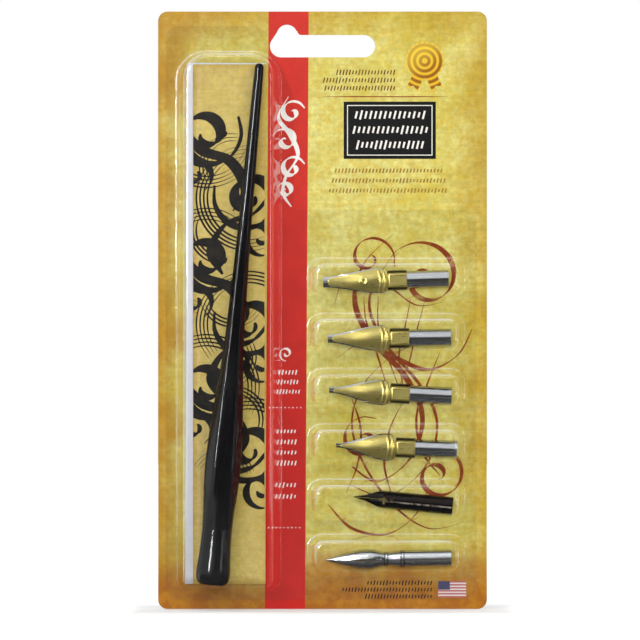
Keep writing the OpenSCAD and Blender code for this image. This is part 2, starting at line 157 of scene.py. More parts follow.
class HolderSettings(bpy.types.PropertyGroup):
    length: length_setting("Length", "Length of the holder", 178 * MM)
    lean: angle_setting("Lean", "Lean to the right", 5.2)
    socket_r: length_setting("Socket", "Radius of the nib socket", 3.4 * MM)
    socket_d: length_setting("Socket depth", "Depth of the nib socket", 16 * MM)
    flats: IntProperty(name="Flats", description="Flats round the belly", default=6, min=3, max=12)
    flat_turn: angle_setting("Turn of the flats", "How far a flat is turned from the front", 58)
    black: colour_setting("Black", "Polished black plastic", shade(12, 12, 14))


class NibSettings(bpy.types.PropertyGroup):
    steel: colour_setting("Steel", "Bright steel of the nibs", (0.52, 0.53, 0.55))
    grey_steel: colour_setting("Grey steel", "Duller steel of the bowl nib", (0.60, 0.61, 0.63))
    brass: colour_setting("Brass", "Bright brass of the reservoirs", (0.58, 0.48, 0.15))
    bronze: colour_setting("Bronze", "Dark bronze of the pointed nib", (0.020, 0.016, 0.015))


SETTINGS = {
    "calligraphy_stage": StageSettings,
    "calligraphy_card": CardSettings,
    "calligraphy_leaflet": LeafletSettings,
    "calligraphy_shell": ShellSettings,
    "calligraphy_holder": HolderSettings,
    "calligraphy_nibs": NibSettings,
}


# Node trees


class Wiring:
    """Adds nodes to a tree, one at a time, and links them."""

    def __init__(self, tree):
        self.tree = tree
        self.tree.nodes.clear()

    def feed(self, socket, value):
        if isinstance(value, bpy.types.NodeSocket):
            self.tree.links.new(value, socket)
        elif value is not None:
            socket.default_value = value

    def add(self, kind, settings=None):
        """A new node with its own settings."""
        made = self.tree.nodes.new(kind)
        for key, value in (settings or {}).items():
            setattr(made, key, value)
        return made

    def node(self, kind, settings=None, out=0, **inputs):
        """A node whose inputs are given by name."""
        made = self.add(kind, settings)
        for key, value in inputs.items():
            self.feed(made.inputs[key.replace("_", " ")], value)
        return made.outputs[out]

    def listed(self, kind, values, settings=None):
        """A node whose inputs are given in their order."""
        made = self.add(kind, settings)
        for socket, value in zip(made.inputs, values):
            self.feed(socket, value)
        return made.outputs[0]

    def math(self, operation, *values):
        return self.listed("ShaderNodeMath", values, {"operation": operation})

    def folded(self, operation, values):
        """One operation run through several values in turn."""
        result = values[0]
        for value in values[1:]:
            result = self.math(operation, result, value)
        return result

    def plus(self, *values):
        return self.folded("ADD", values)

    def minus(self, first, second):
        return self.math("SUBTRACT", first, second)

    def times(self, *values):
        return self.folded("MULTIPLY", values)

    def highest(self, *values):
        return self.folded("MAXIMUM", values)

    def lowest(self, *values):
        return self.folded("MINIMUM", values)

    def scaled(self, value, factor, start):
        """A value times a factor, on top of a start."""
        return self.math("MULTIPLY_ADD", value, factor, start)

    def over(self, value, limit):
        return self.math("GREATER_THAN", value, limit)

    def under(self, value, limit):
        return self.math("LESS_THAN", value, limit)

    def apart(self, first, second):
        """How far two values lie from each other."""
        return self.math("ABSOLUTE", self.minus(first, second))

    def split(self, vector):
        made = self.add("ShaderNodeSeparateXYZ")
        self.feed(made.inputs[0], vector)
        return tuple(made.outputs)

    def join(self, x, y, z):
        return self.listed("ShaderNodeCombineXYZ", (x, y, z))

    def span(self, value, low, high, to_low=0.0, to_high=1.0):
        """A value eased from one range into another."""
        values = (value, low, high, to_low, to_high)
        return self.listed("ShaderNodeMapRange", values, {"interpolation_type": "SMOOTHSTEP"})

    def rays(self, *kinds):
        """1 for rays of the named kinds and 0 for all others."""
        path = self.add("ShaderNodeLightPath")
        return self.highest(*(path.outputs["Is " + kind + " Ray"] for kind in kinds))


class Finish(Wiring):
    """A material's node tree on Object coordinates."""

    def __init__(self, name):
        self.material = bpy.data.materials.new(name)
        self.material.use_nodes = True
        super().__init__(self.material.node_tree)
        self.output = self.tree.nodes.new("ShaderNodeOutputMaterial")
        coordinates = self.tree.nodes.new("ShaderNodeTexCoord")
        self.place = coordinates.outputs["Object"]
        self.facing = coordinates.outputs["Normal"]

    def stretched(self, scale, move=(0, 0, 0), turn=(0, 0, 0)):
        return self.node("ShaderNodeMapping", Vector=self.place, Location=move, Rotation=turn, Scale=scale)

    def noise(self, scale, detail=4.0, rough=0.55, vector=None):
        return self.node(
            "ShaderNodeTexNoise", Vector=vector or self.place, Scale=scale, Detail=detail, Roughness=rough
        )

    def mix(self, share, first, second, blend="MIX"):
        made = self.add("ShaderNodeMix", {"data_type": "RGBA", "blend_type": blend})
        for index, value in ((0, share), (6, first), (7, second)):
            self.feed(made.inputs[index], value)
        return made.outputs[2]

    def dimmed(self, colour, share):
        """A colour made lighter or darker by a factor."""
        return self.mix(1.0, colour, self.listed("ShaderNodeCombineColor", (share, share, share)), "MULTIPLY")

    def bump(self, height, distance, strength=1.0):
        return self.node("ShaderNodeBump", Height=height, Distance=distance, Strength=strength)

    def surface(self, colour, roughness=0.5, metallic=0.0, normal=None, **inputs):
        """Ends the tree in a Principled shader and gives back the material."""
        shader = self.node(
            "ShaderNodeBsdfPrincipled", Base_Color=colour, Roughness=roughness, Metallic=metallic,
            Normal=normal, **inputs,
        )
        return self.close(shader)

    def carried(self, name):
        """A value that the mesh carries in a named attribute."""
        return self.node("ShaderNodeAttribute", {"attribute_name": name}, 2)

    def close(self, shader):
        self.feed(self.output.inputs["Surface"], shader)
        return self.material


class Growth(Wiring):
    """A Geometry Nodes tree with named inputs, which ends in Realize Instances and Set Material."""

    KINDS = {
        "float": "NodeSocketFloat",
        "int": "NodeSocketInt",
        "material": "NodeSocketMaterial",
    }

    def __init__(self, name, **inputs):
        super().__init__(bpy.data.node_groups.new(name, "GeometryNodeTree"))
        face = self.tree.interface
        face.new_socket("Geometry", in_out="INPUT", socket_type="NodeSocketGeometry")
        face.new_socket("Geometry", in_out="OUTPUT", socket_type="NodeSocketGeometry")
        self.idents = {}
        for label, kind in inputs.items():
            made = face.new_socket(label.replace("_", " "), in_out="INPUT", socket_type=self.KINDS[kind])
            self.idents[label] = made.identifier
        self.given = self.tree.nodes.new("NodeGroupInput")
        self.result = self.tree.nodes.new("NodeGroupOutput")

    def input(self, label):
        return self.given.outputs[label.replace("_", " ")]

    def path(self):
        """The host mesh's edges as curves."""
        return self.node("GeometryNodeMeshToCurve", Mesh=self.given.outputs["Geometry"])

    def attribute(self, name):
        """A number that the host mesh carries."""
        return self.node("GeometryNodeInputNamedAttribute", {"data_type": "FLOAT"}, Name=name)

    def close(self, geometry):
        real = self.node("GeometryNodeRealizeInstances", Geometry=geometry)
        dressed = self.node("GeometryNodeSetMaterial", Geometry=real, Material=self.input("Finish"))
        self.tree.links.new(dressed, self.result.inputs[0])

    def grow(self, name, host, **values):
        """Runs the tree on a host mesh and gives back a plain object with the finished mesh."""
        seed = bpy.data.objects.new(name + "_host", host)
        bpy.context.collection.objects.link(seed)
        modifier = seed.modifiers.new(name, "NODES")
        modifier.node_group = self.tree
        for label, value in values.items():
            modifier[self.idents[label]] = value
        mesh = evaluated_mesh(seed)
        bpy.data.objects.remove(seed)
        bpy.data.meshes.remove(host)
        if not mesh.polygons:
            raise RuntimeError(name + " grew no faces")
        return show(name, mesh)


# Pieces


def show(name, mesh, finish=None):
    """Links a finished mesh into the scene as an object at the origin."""
    mesh.name = name
    made = bpy.data.objects.new(name, mesh)
    bpy.context.collection.objects.link(made)
    if finish is not None:
        mesh.materials.clear()
        mesh.materials.append(finish)
    return made


def opened(piece):
    """A piece's mesh as a bmesh."""
    work = bmesh.new()
    work.from_mesh(piece.data)
    return work


def written(work, mesh):
    """Writes a bmesh into a mesh and lets go of it."""
    work.to_mesh(mesh)
    work.free()


def line_host(name, verts, edges, **values):
    """A mesh of loose edges whose points carry named values."""
    mesh = bpy.data.meshes.new(name + "_lines")
    mesh.from_pydata(verts, edges, [])
    for label, numbers in values.items():
        mesh.attributes.new(label, "FLOAT", "POINT").data.foreach_set("value", numbers)
    return mesh


def show_bmesh(name, work, finish, smooth=True):
    """Turns a bmesh into a finished object."""
    for face in work.faces:
        face.smooth = smooth
    mesh = bpy.data.meshes.new(name)
    written(work, mesh)
    return show(name, mesh, finish)


def settle(piece, body, slot_name, *nodes):
    """Says what the piece rides on and which CAD nodes it stands for; slot_name, the finish it takes, is not
    used.
    """
    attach(piece, body)
    if nodes:
        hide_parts(*nodes)


def dress(node, finish):
    """Gives a CAD node a better material."""
    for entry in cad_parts[node].material_slots:
        entry.material = finish


def evaluated_mesh(piece):
    """The plain mesh that a piece's modifiers make."""
    bpy.context.view_layer.update()
    evaluated = piece.evaluated_get(bpy.context.evaluated_depsgraph_get())
    return bpy.data.meshes.new_from_object(evaluated)


def walled(piece, thickness, offset, even=False):
    """Gives an open sheet its wall and leaves it a plain mesh."""
    wall = piece.modifiers.new("wall", "SOLIDIFY")
    wall.thickness = thickness
    wall.offset = offset
    wall.use_even_offset = even
    mesh = evaluated_mesh(piece)
    old = piece.data
    piece.modifiers.clear()
    piece.data = mesh
    mesh.name = piece.name
    bpy.data.meshes.remove(old)


def box_from(work, low, high):
    """A plain box between two corners."""
    size = Vector(high) - Vector(low)
    place = Matrix.Translation((Vector(low) + Vector(high)) / 2) @ Matrix.Diagonal((*size, 1.0))
    bmesh.ops.create_cube(work, size=1.0, matrix=place)


def woven(work, lines, closed=False):
    """Faces between neighbouring lines of vertices."""
    for first, second in zip(lines, lines[1:]):
        count = len(first)
        for k in range(count if closed else count - 1):
            m = (k + 1) % count
            work.faces.new((first[k], first[m], second[m], second[k]))


def faced_front(work, flat=0.0):
    """Turns all faces of a sheet one way, so that those flatter than a limit face the front."""
    bmesh.ops.recalc_face_normals(work, faces=work.faces)
    front = [face for face in work.faces if abs(face.normal.y) > flat]
    if sum(face.normal.y * face.calc_area() for face in front) > 0:
        bmesh.ops.reverse_faces(work, faces=work.faces)


def trimmed(piece, planes):
    """Cuts a closed mesh off at planes and closes the cuts."""
    work = opened(piece)
    for spot, direction in planes:
        parts = list(work.verts) + list(work.edges) + list(work.faces)
        bmesh.ops.bisect_plane(
            work, geom=parts, plane_co=spot, plane_no=direction, clear_outer=True, dist=1e-7
        )
        rims = [edge for edge in work.edges if edge.is_boundary]
        bmesh.ops.holes_fill(work, edges=rims, sides=0)
    written(work, piece.data)


# Stage


# Middle of the view: the photograph's middle lies this far left of the card's middle and below it
VIEW_MIDDLE = Vector((CARD_MIDDLE.x - 0.86 * MM, 0, CARD_MIDDLE.z - 3.32 * MM))
FLOOR_LEVEL = CARD_LOW.z - 0.15 * MM
# Dark card that lies in front of the set: two corners, in metres
FLAG_LEVEL = CARD_LOW.z + 0.05 * MM
FLAG_LOW = (-0.50, -0.001, FLAG_LEVEL)
FLAG_HIGH = (0.50, -2.00, FLAG_LEVEL)
# Lamps: name, place, height of the spot that it faces, width and height, in metres
LAMPS = (
    ("key", (-0.10, -1.15, 0.42), VIEW_MIDDLE.z, 0.85, 0.70),
    ("strip", (-0.44, -0.75, 0.09), 0.05, 0.13, 0.34),
    ("bar", (-0.24, -0.52, 0.44), VIEW_MIDDLE.z, 0.56, 0.045),
    ("fill", (0.75, -0.60, 0.02), VIEW_MIDDLE.z, 0.25, 0.40),
)


def softbox(name, place, aim, width, height, power):
    """A rectangular lamp that the camera doesn't see."""
    lamp = bpy.data.lights.new(name, "AREA")
    lamp.shape = "RECTANGLE"
    lamp.size = width
    lamp.size_y = height
    lamp.energy = power
    made = bpy.data.objects.new(name, lamp)
    made.location = place
    made.rotation_euler = (Vector(aim) - Vector(place)).to_track_quat("-Z", "Y").to_euler()
    made.visible_camera = False
    bpy.context.collection.objects.link(made)
    return made


def studio_world(level):
    """Soft light from all round. In polished pieces it is bright above and to the left, and dark below."""
    world = bpy.data.worlds.new("studio")
    bpy.context.scene.world = world
    world.use_nodes = True
    sky = Wiring(world.node_tree)
    x, y, z = sky.split(sky.add("ShaderNodeTexCoord").outputs["Generated"])
    glossy = sky.rays("Glossy")
    shine = sky.span(sky.scaled(x, -0.9, z), 0.02, 0.34, 0.02, 1.20)
    strength = sky.node("ShaderNodeMix", Factor=glossy, A=level, B=shine)
    soft = sky.node("ShaderNodeBackground", Color=grey(1), Strength=strength)
    white = sky.node("ShaderNodeBackground", Color=grey(1), Strength=1.0)
    mirrored = sky.times(glossy, sky.over(y, 0.1))
    shown = sky.highest(sky.rays("Camera", "Transmission"), mirrored)
    output = sky.add("ShaderNodeOutputWorld")
    sky.feed(output.inputs["Surface"], sky.listed("ShaderNodeMixShader", (shown, soft, white)))


def floor_finish():
    """Pale floor that looks white, darker close to the card where its glow is weaker: painted shadow over the
    object's own shadow.
    """
    finish = Finish("pale_floor")
    tone = finish.mix(finish.noise(60.0, 2.0), grey(0.80), grey(0.84))
    diffuse = finish.node("ShaderNodeBsdfDiffuse", Color=tone)
    x, y, z = finish.split(finish.place)
    beside = finish.minus(finish.apart(x, CARD_MIDDLE.x), (CARD_HIGH.x - CARD_LOW.x) / 2)
    away = finish.highest(finish.math("ABSOLUTE", y), finish.times(beside, 3.5))
    # Painted shadow: the glow is weaker in front of the card and within its width, so the floor is darker
    # there
    near = finish.span(away, 0.015, 0.05, 0.16, 0.45)
    far = finish.span(away, 0.05, 0.5, 0.0, 0.5)
    glow = finish.times(finish.rays("Camera", "Glossy", "Transmission"), finish.plus(near, far))
    lit = finish.node("ShaderNodeEmission", Strength=glow)
    return finish.close(finish.listed("ShaderNodeAddShader", (diffuse, lit)))


def black_flag(name, low, high):
    """A dark card that only shows in the polished pieces, as in a studio."""
    work = bmesh.new()
    corners = [low, (high[0], low[1], low[2]), high, (low[0], high[1], high[2])]
    work.faces.new([work.verts.new(corner) for corner in corners])
    finish = Finish("flag_black")
    x, y, z = finish.split(finish.place)
    dark = finish.mix(finish.noise(300.0, 2.0), grey(0.008), grey(0.014))
    dark = finish.mix(finish.span(y, -0.15, -0.03), dark, grey(0.035))
    made = show_bmesh(name, work, finish.surface(dark, 1.0), smooth=False)
    for rays in ("camera", "diffuse", "shadow", "transmission"):
        setattr(made, "visible_" + rays, False)


class CALLIGRAPHY_OT_stage(bpy.types.Operator):
    """Sets the pale floor, the soft lamps, the background and the camera"""

    bl_idname = "calligraphy.stage"
    bl_label = "Stage"

    def execute(self, context):
        settings = context.scene.calligraphy_stage
        context.scene.view_settings.view_transform = "Standard"

        lens = bpy.data.cameras.new("camera")
        lens.lens = lens.sensor_width * settings.camera_distance / settings.view_width
        lens.clip_end = 20
        camera = bpy.data.objects.new("camera", lens)
        camera.location = (VIEW_MIDDLE.x, CARD_FRONT - settings.camera_distance, VIEW_MIDDLE.z)
        camera.rotation_euler = (math.pi / 2, 0, 0)
        context.collection.objects.link(camera)
        context.scene.camera = camera

        work = bmesh.new()
        bmesh.ops.create_grid(work, x_segments=2, y_segments=2, size=settings.floor_size / 2)
        bmesh.ops.translate(work, verts=work.verts, vec=(VIEW_MIDDLE.x, 0, FLOOR_LEVEL))
        show_bmesh("floor", work, floor_finish(), smooth=False)
        black_flag("flag_low", FLAG_LOW, FLAG_HIGH)

        for name, place, aim_z, width, height in LAMPS:
            aim = (VIEW_MIDDLE.x, 0, aim_z)
            lamp = softbox(name, place, aim, width, height, getattr(settings, name + "_power"))
            lamp.visible_glossy = name != "key"
            lamp.visible_diffuse = name != "strip"
        studio_world(settings.world_level)
        return {"FINISHED"}


# Card


# The card's print, in millimetres from the card's upper left corner. The band's slant is in degrees
BAND = {"left": 37.6, "w": 13.7, "slant": 0.35}
PLATE = {"left": 63.2, "drop": 30.7, "w": 31.4, "h": 19.5, "line_in": 1.3, "line_w": 0.3}
SEAL = {"across": 90.8, "drop": 16.8, "r": 6.6, "scallops": 22}
PATCH_LOW = (95.4, 199.6)
PATCH_HIGH = (104.9, 194.0)


def parchment(finish, light, deep, edge_share, edge_tone):
    """Mottled, fibrous parchment print, browner where edge_share is high."""
    cloud = finish.span(finish.noise(34.0, 6.0, 0.62), 0.36, 0.68)
    base = finish.mix(cloud, light, deep)
    upright = finish.noise(1.0, 3.0, 0.6, finish.stretched((900, 900, 150)))
    level = finish.noise(1.0, 4.0, 0.6, finish.stretched((110, 900, 1000), (3.1, 0, 7.7)))
    fibre = finish.span(finish.scaled(upright, 0.75, finish.times(level, 1.25)), 0.70, 1.30, 0.93, 1.06)
    grain = finish.span(finish.noise(640.0, 3.0, 0.7), 0.28, 0.72, 0.915, 1.085)
    blotch = finish.noise(260.0, 6.0, 0.75, finish.stretched((1, 1, 1), (0.4, 0, 0.9)))
    spotted = finish.times(finish.span(blotch, 0.50, 0.70), finish.scaled(edge_share, 0.55, 0.20))
    rust = finish.mix(spotted, base, edge_tone)
    fleck = finish.noise(430.0, 4.0, 0.7, finish.stretched((1, 1, 1), (1.7, 0, 2.3)))
    rust = finish.mix(finish.span(fleck, 0.40, 0.64, 0.0, 0.55), rust, tint(206, 174, 50))
    browned = finish.mix(edge_share, rust, edge_tone)
    return finish.dimmed(browned, finish.times(fibre, grain))


def card_parchment(finish, settings, across, down):
    """The card's ground: browned at its sides, its top and its left corner, and burnt at its foot."""
    x, y, z = finish.split(finish.place)
    to_right = finish.minus(CARD_HIGH.x, x)
    to_foot = finish.minus(z, CARD_LOW.z)
    warp = finish.scaled(finish.noise(45.0, 5.0, 0.6), 0.030, -0.015)
    left = finish.plus(across, warp)
    sides = finish.plus(finish.lowest(finish.times(across, 0.8), to_right), warp)
    edge = finish.highest(
        finish.span(sides, -0.004, 0.014, 0.90, 0.0),
        finish.span(finish.plus(down, warp), -0.004, 0.018, 0.75, 0.0),
    )
    light = opaque(settings.parchment_light)
    deep = opaque(settings.parchment_deep)
    ground = parchment(finish, light, deep, edge, opaque(settings.edge_tone))
    foot = finish.highest(
        finish.span(finish.plus(to_foot, warp), 0.004, 0.026, 0.95, 0.0),
        finish.span(finish.scaled(down, 1.4, left), 0.004, 0.045, 0.45, 0.0),
        finish.span(left, -0.002, 0.016, 0.45, 0.0),
    )
    burnt = finish.span(finish.noise(150.0, 5.0, 0.7), 0.40, 0.62)
    burnt = finish.mix(burnt, opaque(settings.foot_tone), tint(188, 122, 20))
    return finish.mix(foot, ground, burnt)


def card_band(finish, settings, across, down, ground):
    """The red band over the ground, leaning a little and worn in places."""
    slant = finish.scaled(down, math.tan(math.radians(BAND["slant"])), across)
    band = finish.times(
        finish.over(slant, BAND["left"] * MM), finish.under(slant, (BAND["left"] + BAND["w"]) * MM)
    )
    red = finish.mix(finish.span(down, 0.02, 0.19), opaque(settings.band_top), opaque(settings.band_foot))
    worn = finish.span(finish.noise(70.0, 6.0, 0.7), 0.3, 0.75, 0.90, 1.08)
    return finish.mix(band, ground, finish.dimmed(red, worn))


def card_plate(finish, settings, across, down, ground):
    """The black plate over the ground, with a fine pale line inside its edge."""
    beyond = []
    for value, start, size in ((across, PLATE["left"], PLATE["w"]), (down, PLATE["drop"], PLATE["h"])):
        beyond.append(finish.minus(finish.apart(value, (start + size / 2) * MM), size / 2 * MM))
    outside = finish.highest(*beyond)
    from_line = finish.math("ABSOLUTE", finish.plus(outside, PLATE["line_in"] * MM))
    speck = finish.span(finish.noise(900.0, 2.0), 0.35, 0.8, 0.0, 0.15)
    black = finish.mix(speck, opaque(settings.plate_tone), grey(0.02))
    plate = finish.mix(finish.under(from_line, PLATE["line_w"] / 2 * MM), black, tint(236, 232, 220))
    return finish.mix(finish.under(outside, 0.0), ground, plate)


def card_finish(settings):
    """Print of the card's front, and plain grey board on its back and edges."""
    finish = Finish("card_print")
    x, y, z = finish.split(finish.place)
    across = finish.minus(x, CARD_LOW.x)
    down = finish.minus(CARD_HIGH.z, z)
    printed = card_parchment(finish, settings, across, down)
    printed = card_band(finish, settings, across, down, printed)
    printed = card_plate(finish, settings, across, down, printed)
    front = finish.under(finish.split(finish.facing)[1], -0.5)
    board = finish.mix(finish.noise(500.0, 5.0, 0.7), tint(216, 214, 208), tint(236, 235, 230))
    tone = finish.mix(front, board, printed)
    rough = finish.span(front, 0.0, 1.0, 0.85, 0.55)
    skin = finish.bump(finish.noise(700.0, 4.0, 0.6), 0.02 * MM, 0.5)
    return finish.surface(tone, rough, normal=skin, Specular_IOR_Level=0.14)


def ink_finish(name, colour, pale, density):
    """Printed ink: darker where the pen lay on, paler where it ran dry."""
    finish = Finish(name)
    cloud = finish.span(finish.noise(220.0, 4.0, 0.6), 0.35, 0.75, 0.0, density)
    return finish.surface(finish.mix(cloud, colour, pale), 0.5, Specular_IOR_Level=0.14)


def ink_growth():
    """Tree that turns pen paths into flat strokes, broad or fine with their direction."""
    growth = Growth(
        "pen_strokes", Step="float", Pen_angle="float", Fine_share="float", Back="float", Front="float",
        Finish="material",
    )
    curve = growth.path()
    curve = growth.node("GeometryNodeCurveSplineType", {"spline_type": "CATMULL_ROM"}, Curve=curve)
    curve = growth.node(
        "GeometryNodeResampleCurve", {"mode": "LENGTH"}, Curve=curve, Length=growth.input("Step")
    )
    curve = growth.node("GeometryNodeSetCurveNormal", {"mode": "FREE"}, Curve=curve, Normal=(0, 1, 0))
    tangent = growth.node("GeometryNodeInputTangent")
    along_x, along_y, along_z = growth.split(tangent)
    pen_sine = growth.math("SINE", growth.input("Pen_angle"))
    pen_cosine = growth.math("COSINE", growth.input("Pen_angle"))
    breadth = growth.apart(growth.times(along_x, pen_sine), growth.times(along_z, pen_cosine))
    spare = growth.minus(1.0, growth.input("Fine_share"))
    breadth = growth.scaled(breadth, spare, growth.input("Fine_share"))
    half = growth.times(growth.attribute("weight"), breadth)
    section = growth.node(
        "GeometryNodeCurvePrimitiveQuadrilateral", {"mode": "RECTANGLE"}, Width=0.04, Height=2.0
    )
    ribbon = growth.node(
        "GeometryNodeCurveToMesh", Curve=curve, Profile_Curve=section, Scale=half, Fill_Caps=True
    )
    spot = growth.node("GeometryNodeInputPosition")
    x, y, z = growth.split(spot)
    middle = growth.times(growth.plus(growth.input("Back"), growth.input("Front")), 0.5)
    behind = growth.over(y, middle)
    top = growth.minus(growth.input("Front"), growth.attribute("lift"))
    level = growth.scaled(behind, growth.minus(growth.input("Back"), top), top)
    flat = growth.node("GeometryNodeSetPosition", Geometry=ribbon, Position=growth.join(x, level, z))
    flat = growth.node("GeometryNodeSetShadeSmooth", Geometry=flat, Shade_Smooth=False)
    growth.close(flat)
    return growth


def stroke_host(name, strokes, level):
    """Pen paths as loose edges. A stroke is its weight in millimetres and its places on the card."""
    verts = []
    edges = []
    weights = []
    lifts = []
    for order, (weight, path) in enumerate(strokes):
        first = len(verts)
        last = len(path) - 1
        for index, (across, down) in enumerate(path):
            x, z = on_card(across, down)
            verts.append((x, level, z))
            ends = min(index, last - index) / max(1.0, 0.25 * last)
            weights.append(weight * MM * (0.22 + 0.78 * min(1.0, ends)))
            lifts.append(order * STROKE_LIFT)
        edges.extend((first + k, first + k + 1) for k in range(last))
    return line_host(name, verts, edges, weight=weights, lift=lifts)


def volute(across, down, reach, start, turns, eye=0.14, squeeze=1.0):
    """Path of a scroll that winds inwards. Positive turns wind clockwise."""
    count = max(6, int(abs(turns) * 12))
    path = []
    for k in range(count + 1):
        share = k / count
        angle = math.radians(start) + share * turns * math.tau
        radius = reach * (eye + (1 - eye) * (1 - share) ** 1.2)
        path.append((across + radius * squeeze * math.cos(angle), down + radius * math.sin(angle)))
    return path


def arc(across, down, reach, start, sweep, squeeze=1.0):
    """Path of a plain arc, in degrees."""
    count = max(5, int(abs(sweep) / 20))
    path = []
    for k in range(count + 1):
        angle = math.radians(start + sweep * k / count)
        path.append((across + reach * squeeze * math.cos(angle), down + reach * math.sin(angle)))
    return path


def card_flourishes():
    """Generic brown pen flourishes behind the nibs."""
    return [
        (0.95, volute(91, 91, 14.5, 195, 1.35)),
        (0.70, volute(72, 84, 9.0, 20, -1.2)),
        (1.00, [
            (80, 76), (70, 86), (67, 99), (73, 112), (84, 124), (90, 138), (86, 152), (75, 160), (66, 155),
        ]),
        (0.55, [
            (84, 80), (75, 90), (72, 101), (78, 114), (89, 127), (95, 140), (91, 155), (78, 165), (65, 161),
        ]),
        (0.90, volute(95, 158, 10.5, 250, 1.5)),
        (0.75, volute(70, 146, 8.5, 300, -1.3)),
        (0.40, [
            (98, 104), (90, 112), (80, 117), (70, 127), (66, 140),
            (70, 154), (80, 168), (92, 176), (104, 174),
        ]),
        (0.85, [(61, 118), (70, 113), (81, 118), (92, 122), (102, 117), (107, 108)]),
        (0.35, [(70, 97), (71, 106), (75, 118), (78, 128)]),
        (0.35, [(75, 97), (75, 107), (78, 117), (82, 128)]),
        (0.35, [(86, 98), (84, 108), (82, 118), (84, 130)]),
        (0.35, [(91, 98), (88, 109), (85, 121), (80, 132)]),
        (0.50, [(96, 116), (92, 126), (88, 138), (90, 150), (96, 158)]),
        (0.45, [(84, 132), (79, 142), (77, 154), (80, 166)]),
        (0.45, [(66, 132), (69, 142), (68, 154), (64, 164)]),
        (0.30, [(60, 100), (63, 92), (70, 90), (79, 94), (88, 100), (97, 99)]),
        (0.55, [(58, 168), (66, 176), (78, 178), (88, 171), (93, 160)]),
        (0.25, [(56.0, 29.0), (66, 29.0), (77, 29.0), (88, 29.0), (98.6, 29.0)]),
    ]


def band_scrolls():
    """Generic white scrolls on the red band."""
    strokes = []
    for index, down in enumerate((34.5, 44.0, 53.5, 61.0)):
        turn = 1.25 if index % 2 else -1.25
        side = 43.3 if index % 2 else 45.6
        reach = 4.6 if index < 3 else 3.0
        strokes.append((0.95, volute(side, down, reach, 200 if index % 2 else -20, turn)))
    spine = [(44.4, 29), (41.0, 36), (45.0, 42), (47.6, 49), (43.6, 56), (42.6, 62), (45.4, 66.5)]
    strokes.append((0.80, spine))
    strokes.append((0.45, volute(43.6, 116.5, 2.6, 90, 1.4)))
    return strokes


# Least share of its full height that a practice stroke has
SHORTEST_STROKE = 0.55
# Rows of practice strokes: where a row starts and ends, how far down it lies, its height and its pitch
BROWN_ROWS = (
    (61.0, 80.4, 20.7, 2.0, 1.05), (56.5, 80.4, 23.4, 2.0, 1.05), (57.0, 80.4, 26.1, 2.0, 1.05),
)
PALE_ROWS = (
    (60.5, 96.5, 54.2, 1.8, 1.15), (59.5, 97.5, 57.6, 1.8, 1.15), (58.5, 98.0, 61.0, 1.8, 1.15),
)
BLACK_ROWS = (
    (71.5, 93.0, 194.6, 1.8, 1.05), (63.0, 93.0, 196.9, 1.8, 1.05), (70.8, 93.0, 199.2, 1.8, 1.05),
)
WHITE_ROWS = (
    (67.5, 90.5, 35.2, 3.2, 1.55), (66.8, 91.4, 40.3, 3.2, 1.55), (68.0, 90.0, 45.4, 3.2, 1.55),
    (41.3, 47.0, 122.9, 1.8, 1.05), (41.0, 47.4, 126.2, 1.8, 1.05), (40.6, 48.0, 129.5, 1.8, 1.05),
    (40.8, 46.6, 143.0, 1.9, 1.10), (40.8, 46.8, 146.6, 1.9, 1.10), (40.8, 46.8, 150.2, 1.9, 1.10),
    (40.8, 46.8, 153.8, 1.9, 1.10), (40.2, 46.6, 161.3, 1.9, 1.10), (40.2, 46.6, 165.2, 1.9, 1.10),
    (37.9, 48.6, 134.9, 0.55, 1.25), (37.6, 48.2, 175.8, 0.55, 1.25),
)


def row_growth():
    """Tree that sets slanted practice strokes along rows."""
    growth = Growth("practice_rows", Slant="float", Depth="float", Seed="int", Finish="material")
    curve = growth.path()
    pitch = growth.attribute("pitch")
    height = growth.attribute("height")
    points = growth.node("GeometryNodeCurveToPoints", {"mode": "LENGTH"}, Curve=curve, Length=pitch)
    mark = growth.node("GeometryNodeMeshCube", Size=(0.42, 1.0, 1.0))
    chance = growth.add("FunctionNodeRandomValue", {"data_type": "FLOAT"})
    low = next(socket for socket in chance.inputs if socket.enabled and socket.name == "Min")
    low.default_value = SHORTEST_STROKE
    growth.feed(chance.inputs["Seed"], growth.input("Seed"))
    tall = growth.times(height, next(socket for socket in chance.outputs if socket.enabled))
    wide = growth.lowest(pitch, growth.times(height, 1.6))
    made = growth.node(
        "GeometryNodeInstanceOnPoints",
        Points=points,
        Instance=mark,
        Rotation=growth.join(0.0, growth.input("Slant"), 0.0),
        Scale=growth.join(wide, growth.input("Depth"), tall),
    )
    growth.close(made)
    return growth


def row_host(name, rows, level):
    """Rows as single edges that carry the pitch and the height of their strokes."""
    verts = []
    edges = []
    pitches = []
    heights = []
    for start, end, down, height, pitch in rows:
        edges.append((len(verts), len(verts) + 1))
        for across in (start, end):
            x, z = on_card(across, down)
            verts.append((x, level, z))
            pitches.append(pitch * MM)
            heights.append(height * MM)
    return line_host(name, verts, edges, pitch=pitches, height=heights)


def gold_finish():
    """Printed gold of the seal, in rings about its middle."""
    finish = Finish("seal_gold")
    x, y, z = finish.split(finish.place)
    middle_x, middle_z = on_card(SEAL["across"], SEAL["drop"])
    off_x = finish.minus(x, middle_x)
    off_z = finish.minus(z, middle_z)
    squares = [finish.math("POWER", off, 2.0) for off in (off_x, off_z)]
    away = finish.math("SQRT", finish.plus(*squares))
    ring = finish.math("SINE", finish.times(away, math.tau / (SEAL["r"] * MM * 0.30)))
    tone = finish.mix(finish.span(ring, -0.6, 0.9), tint(150, 92, 8), tint(232, 184, 32))
    lit = finish.span(finish.plus(off_z, finish.times(off_x, -0.7)), -0.006, 0.006)
    tone = finish.mix(finish.times(lit, 0.40), tone, tint(252, 224, 84))
    return finish.surface(tone, 0.4, Specular_IOR_Level=0.15)


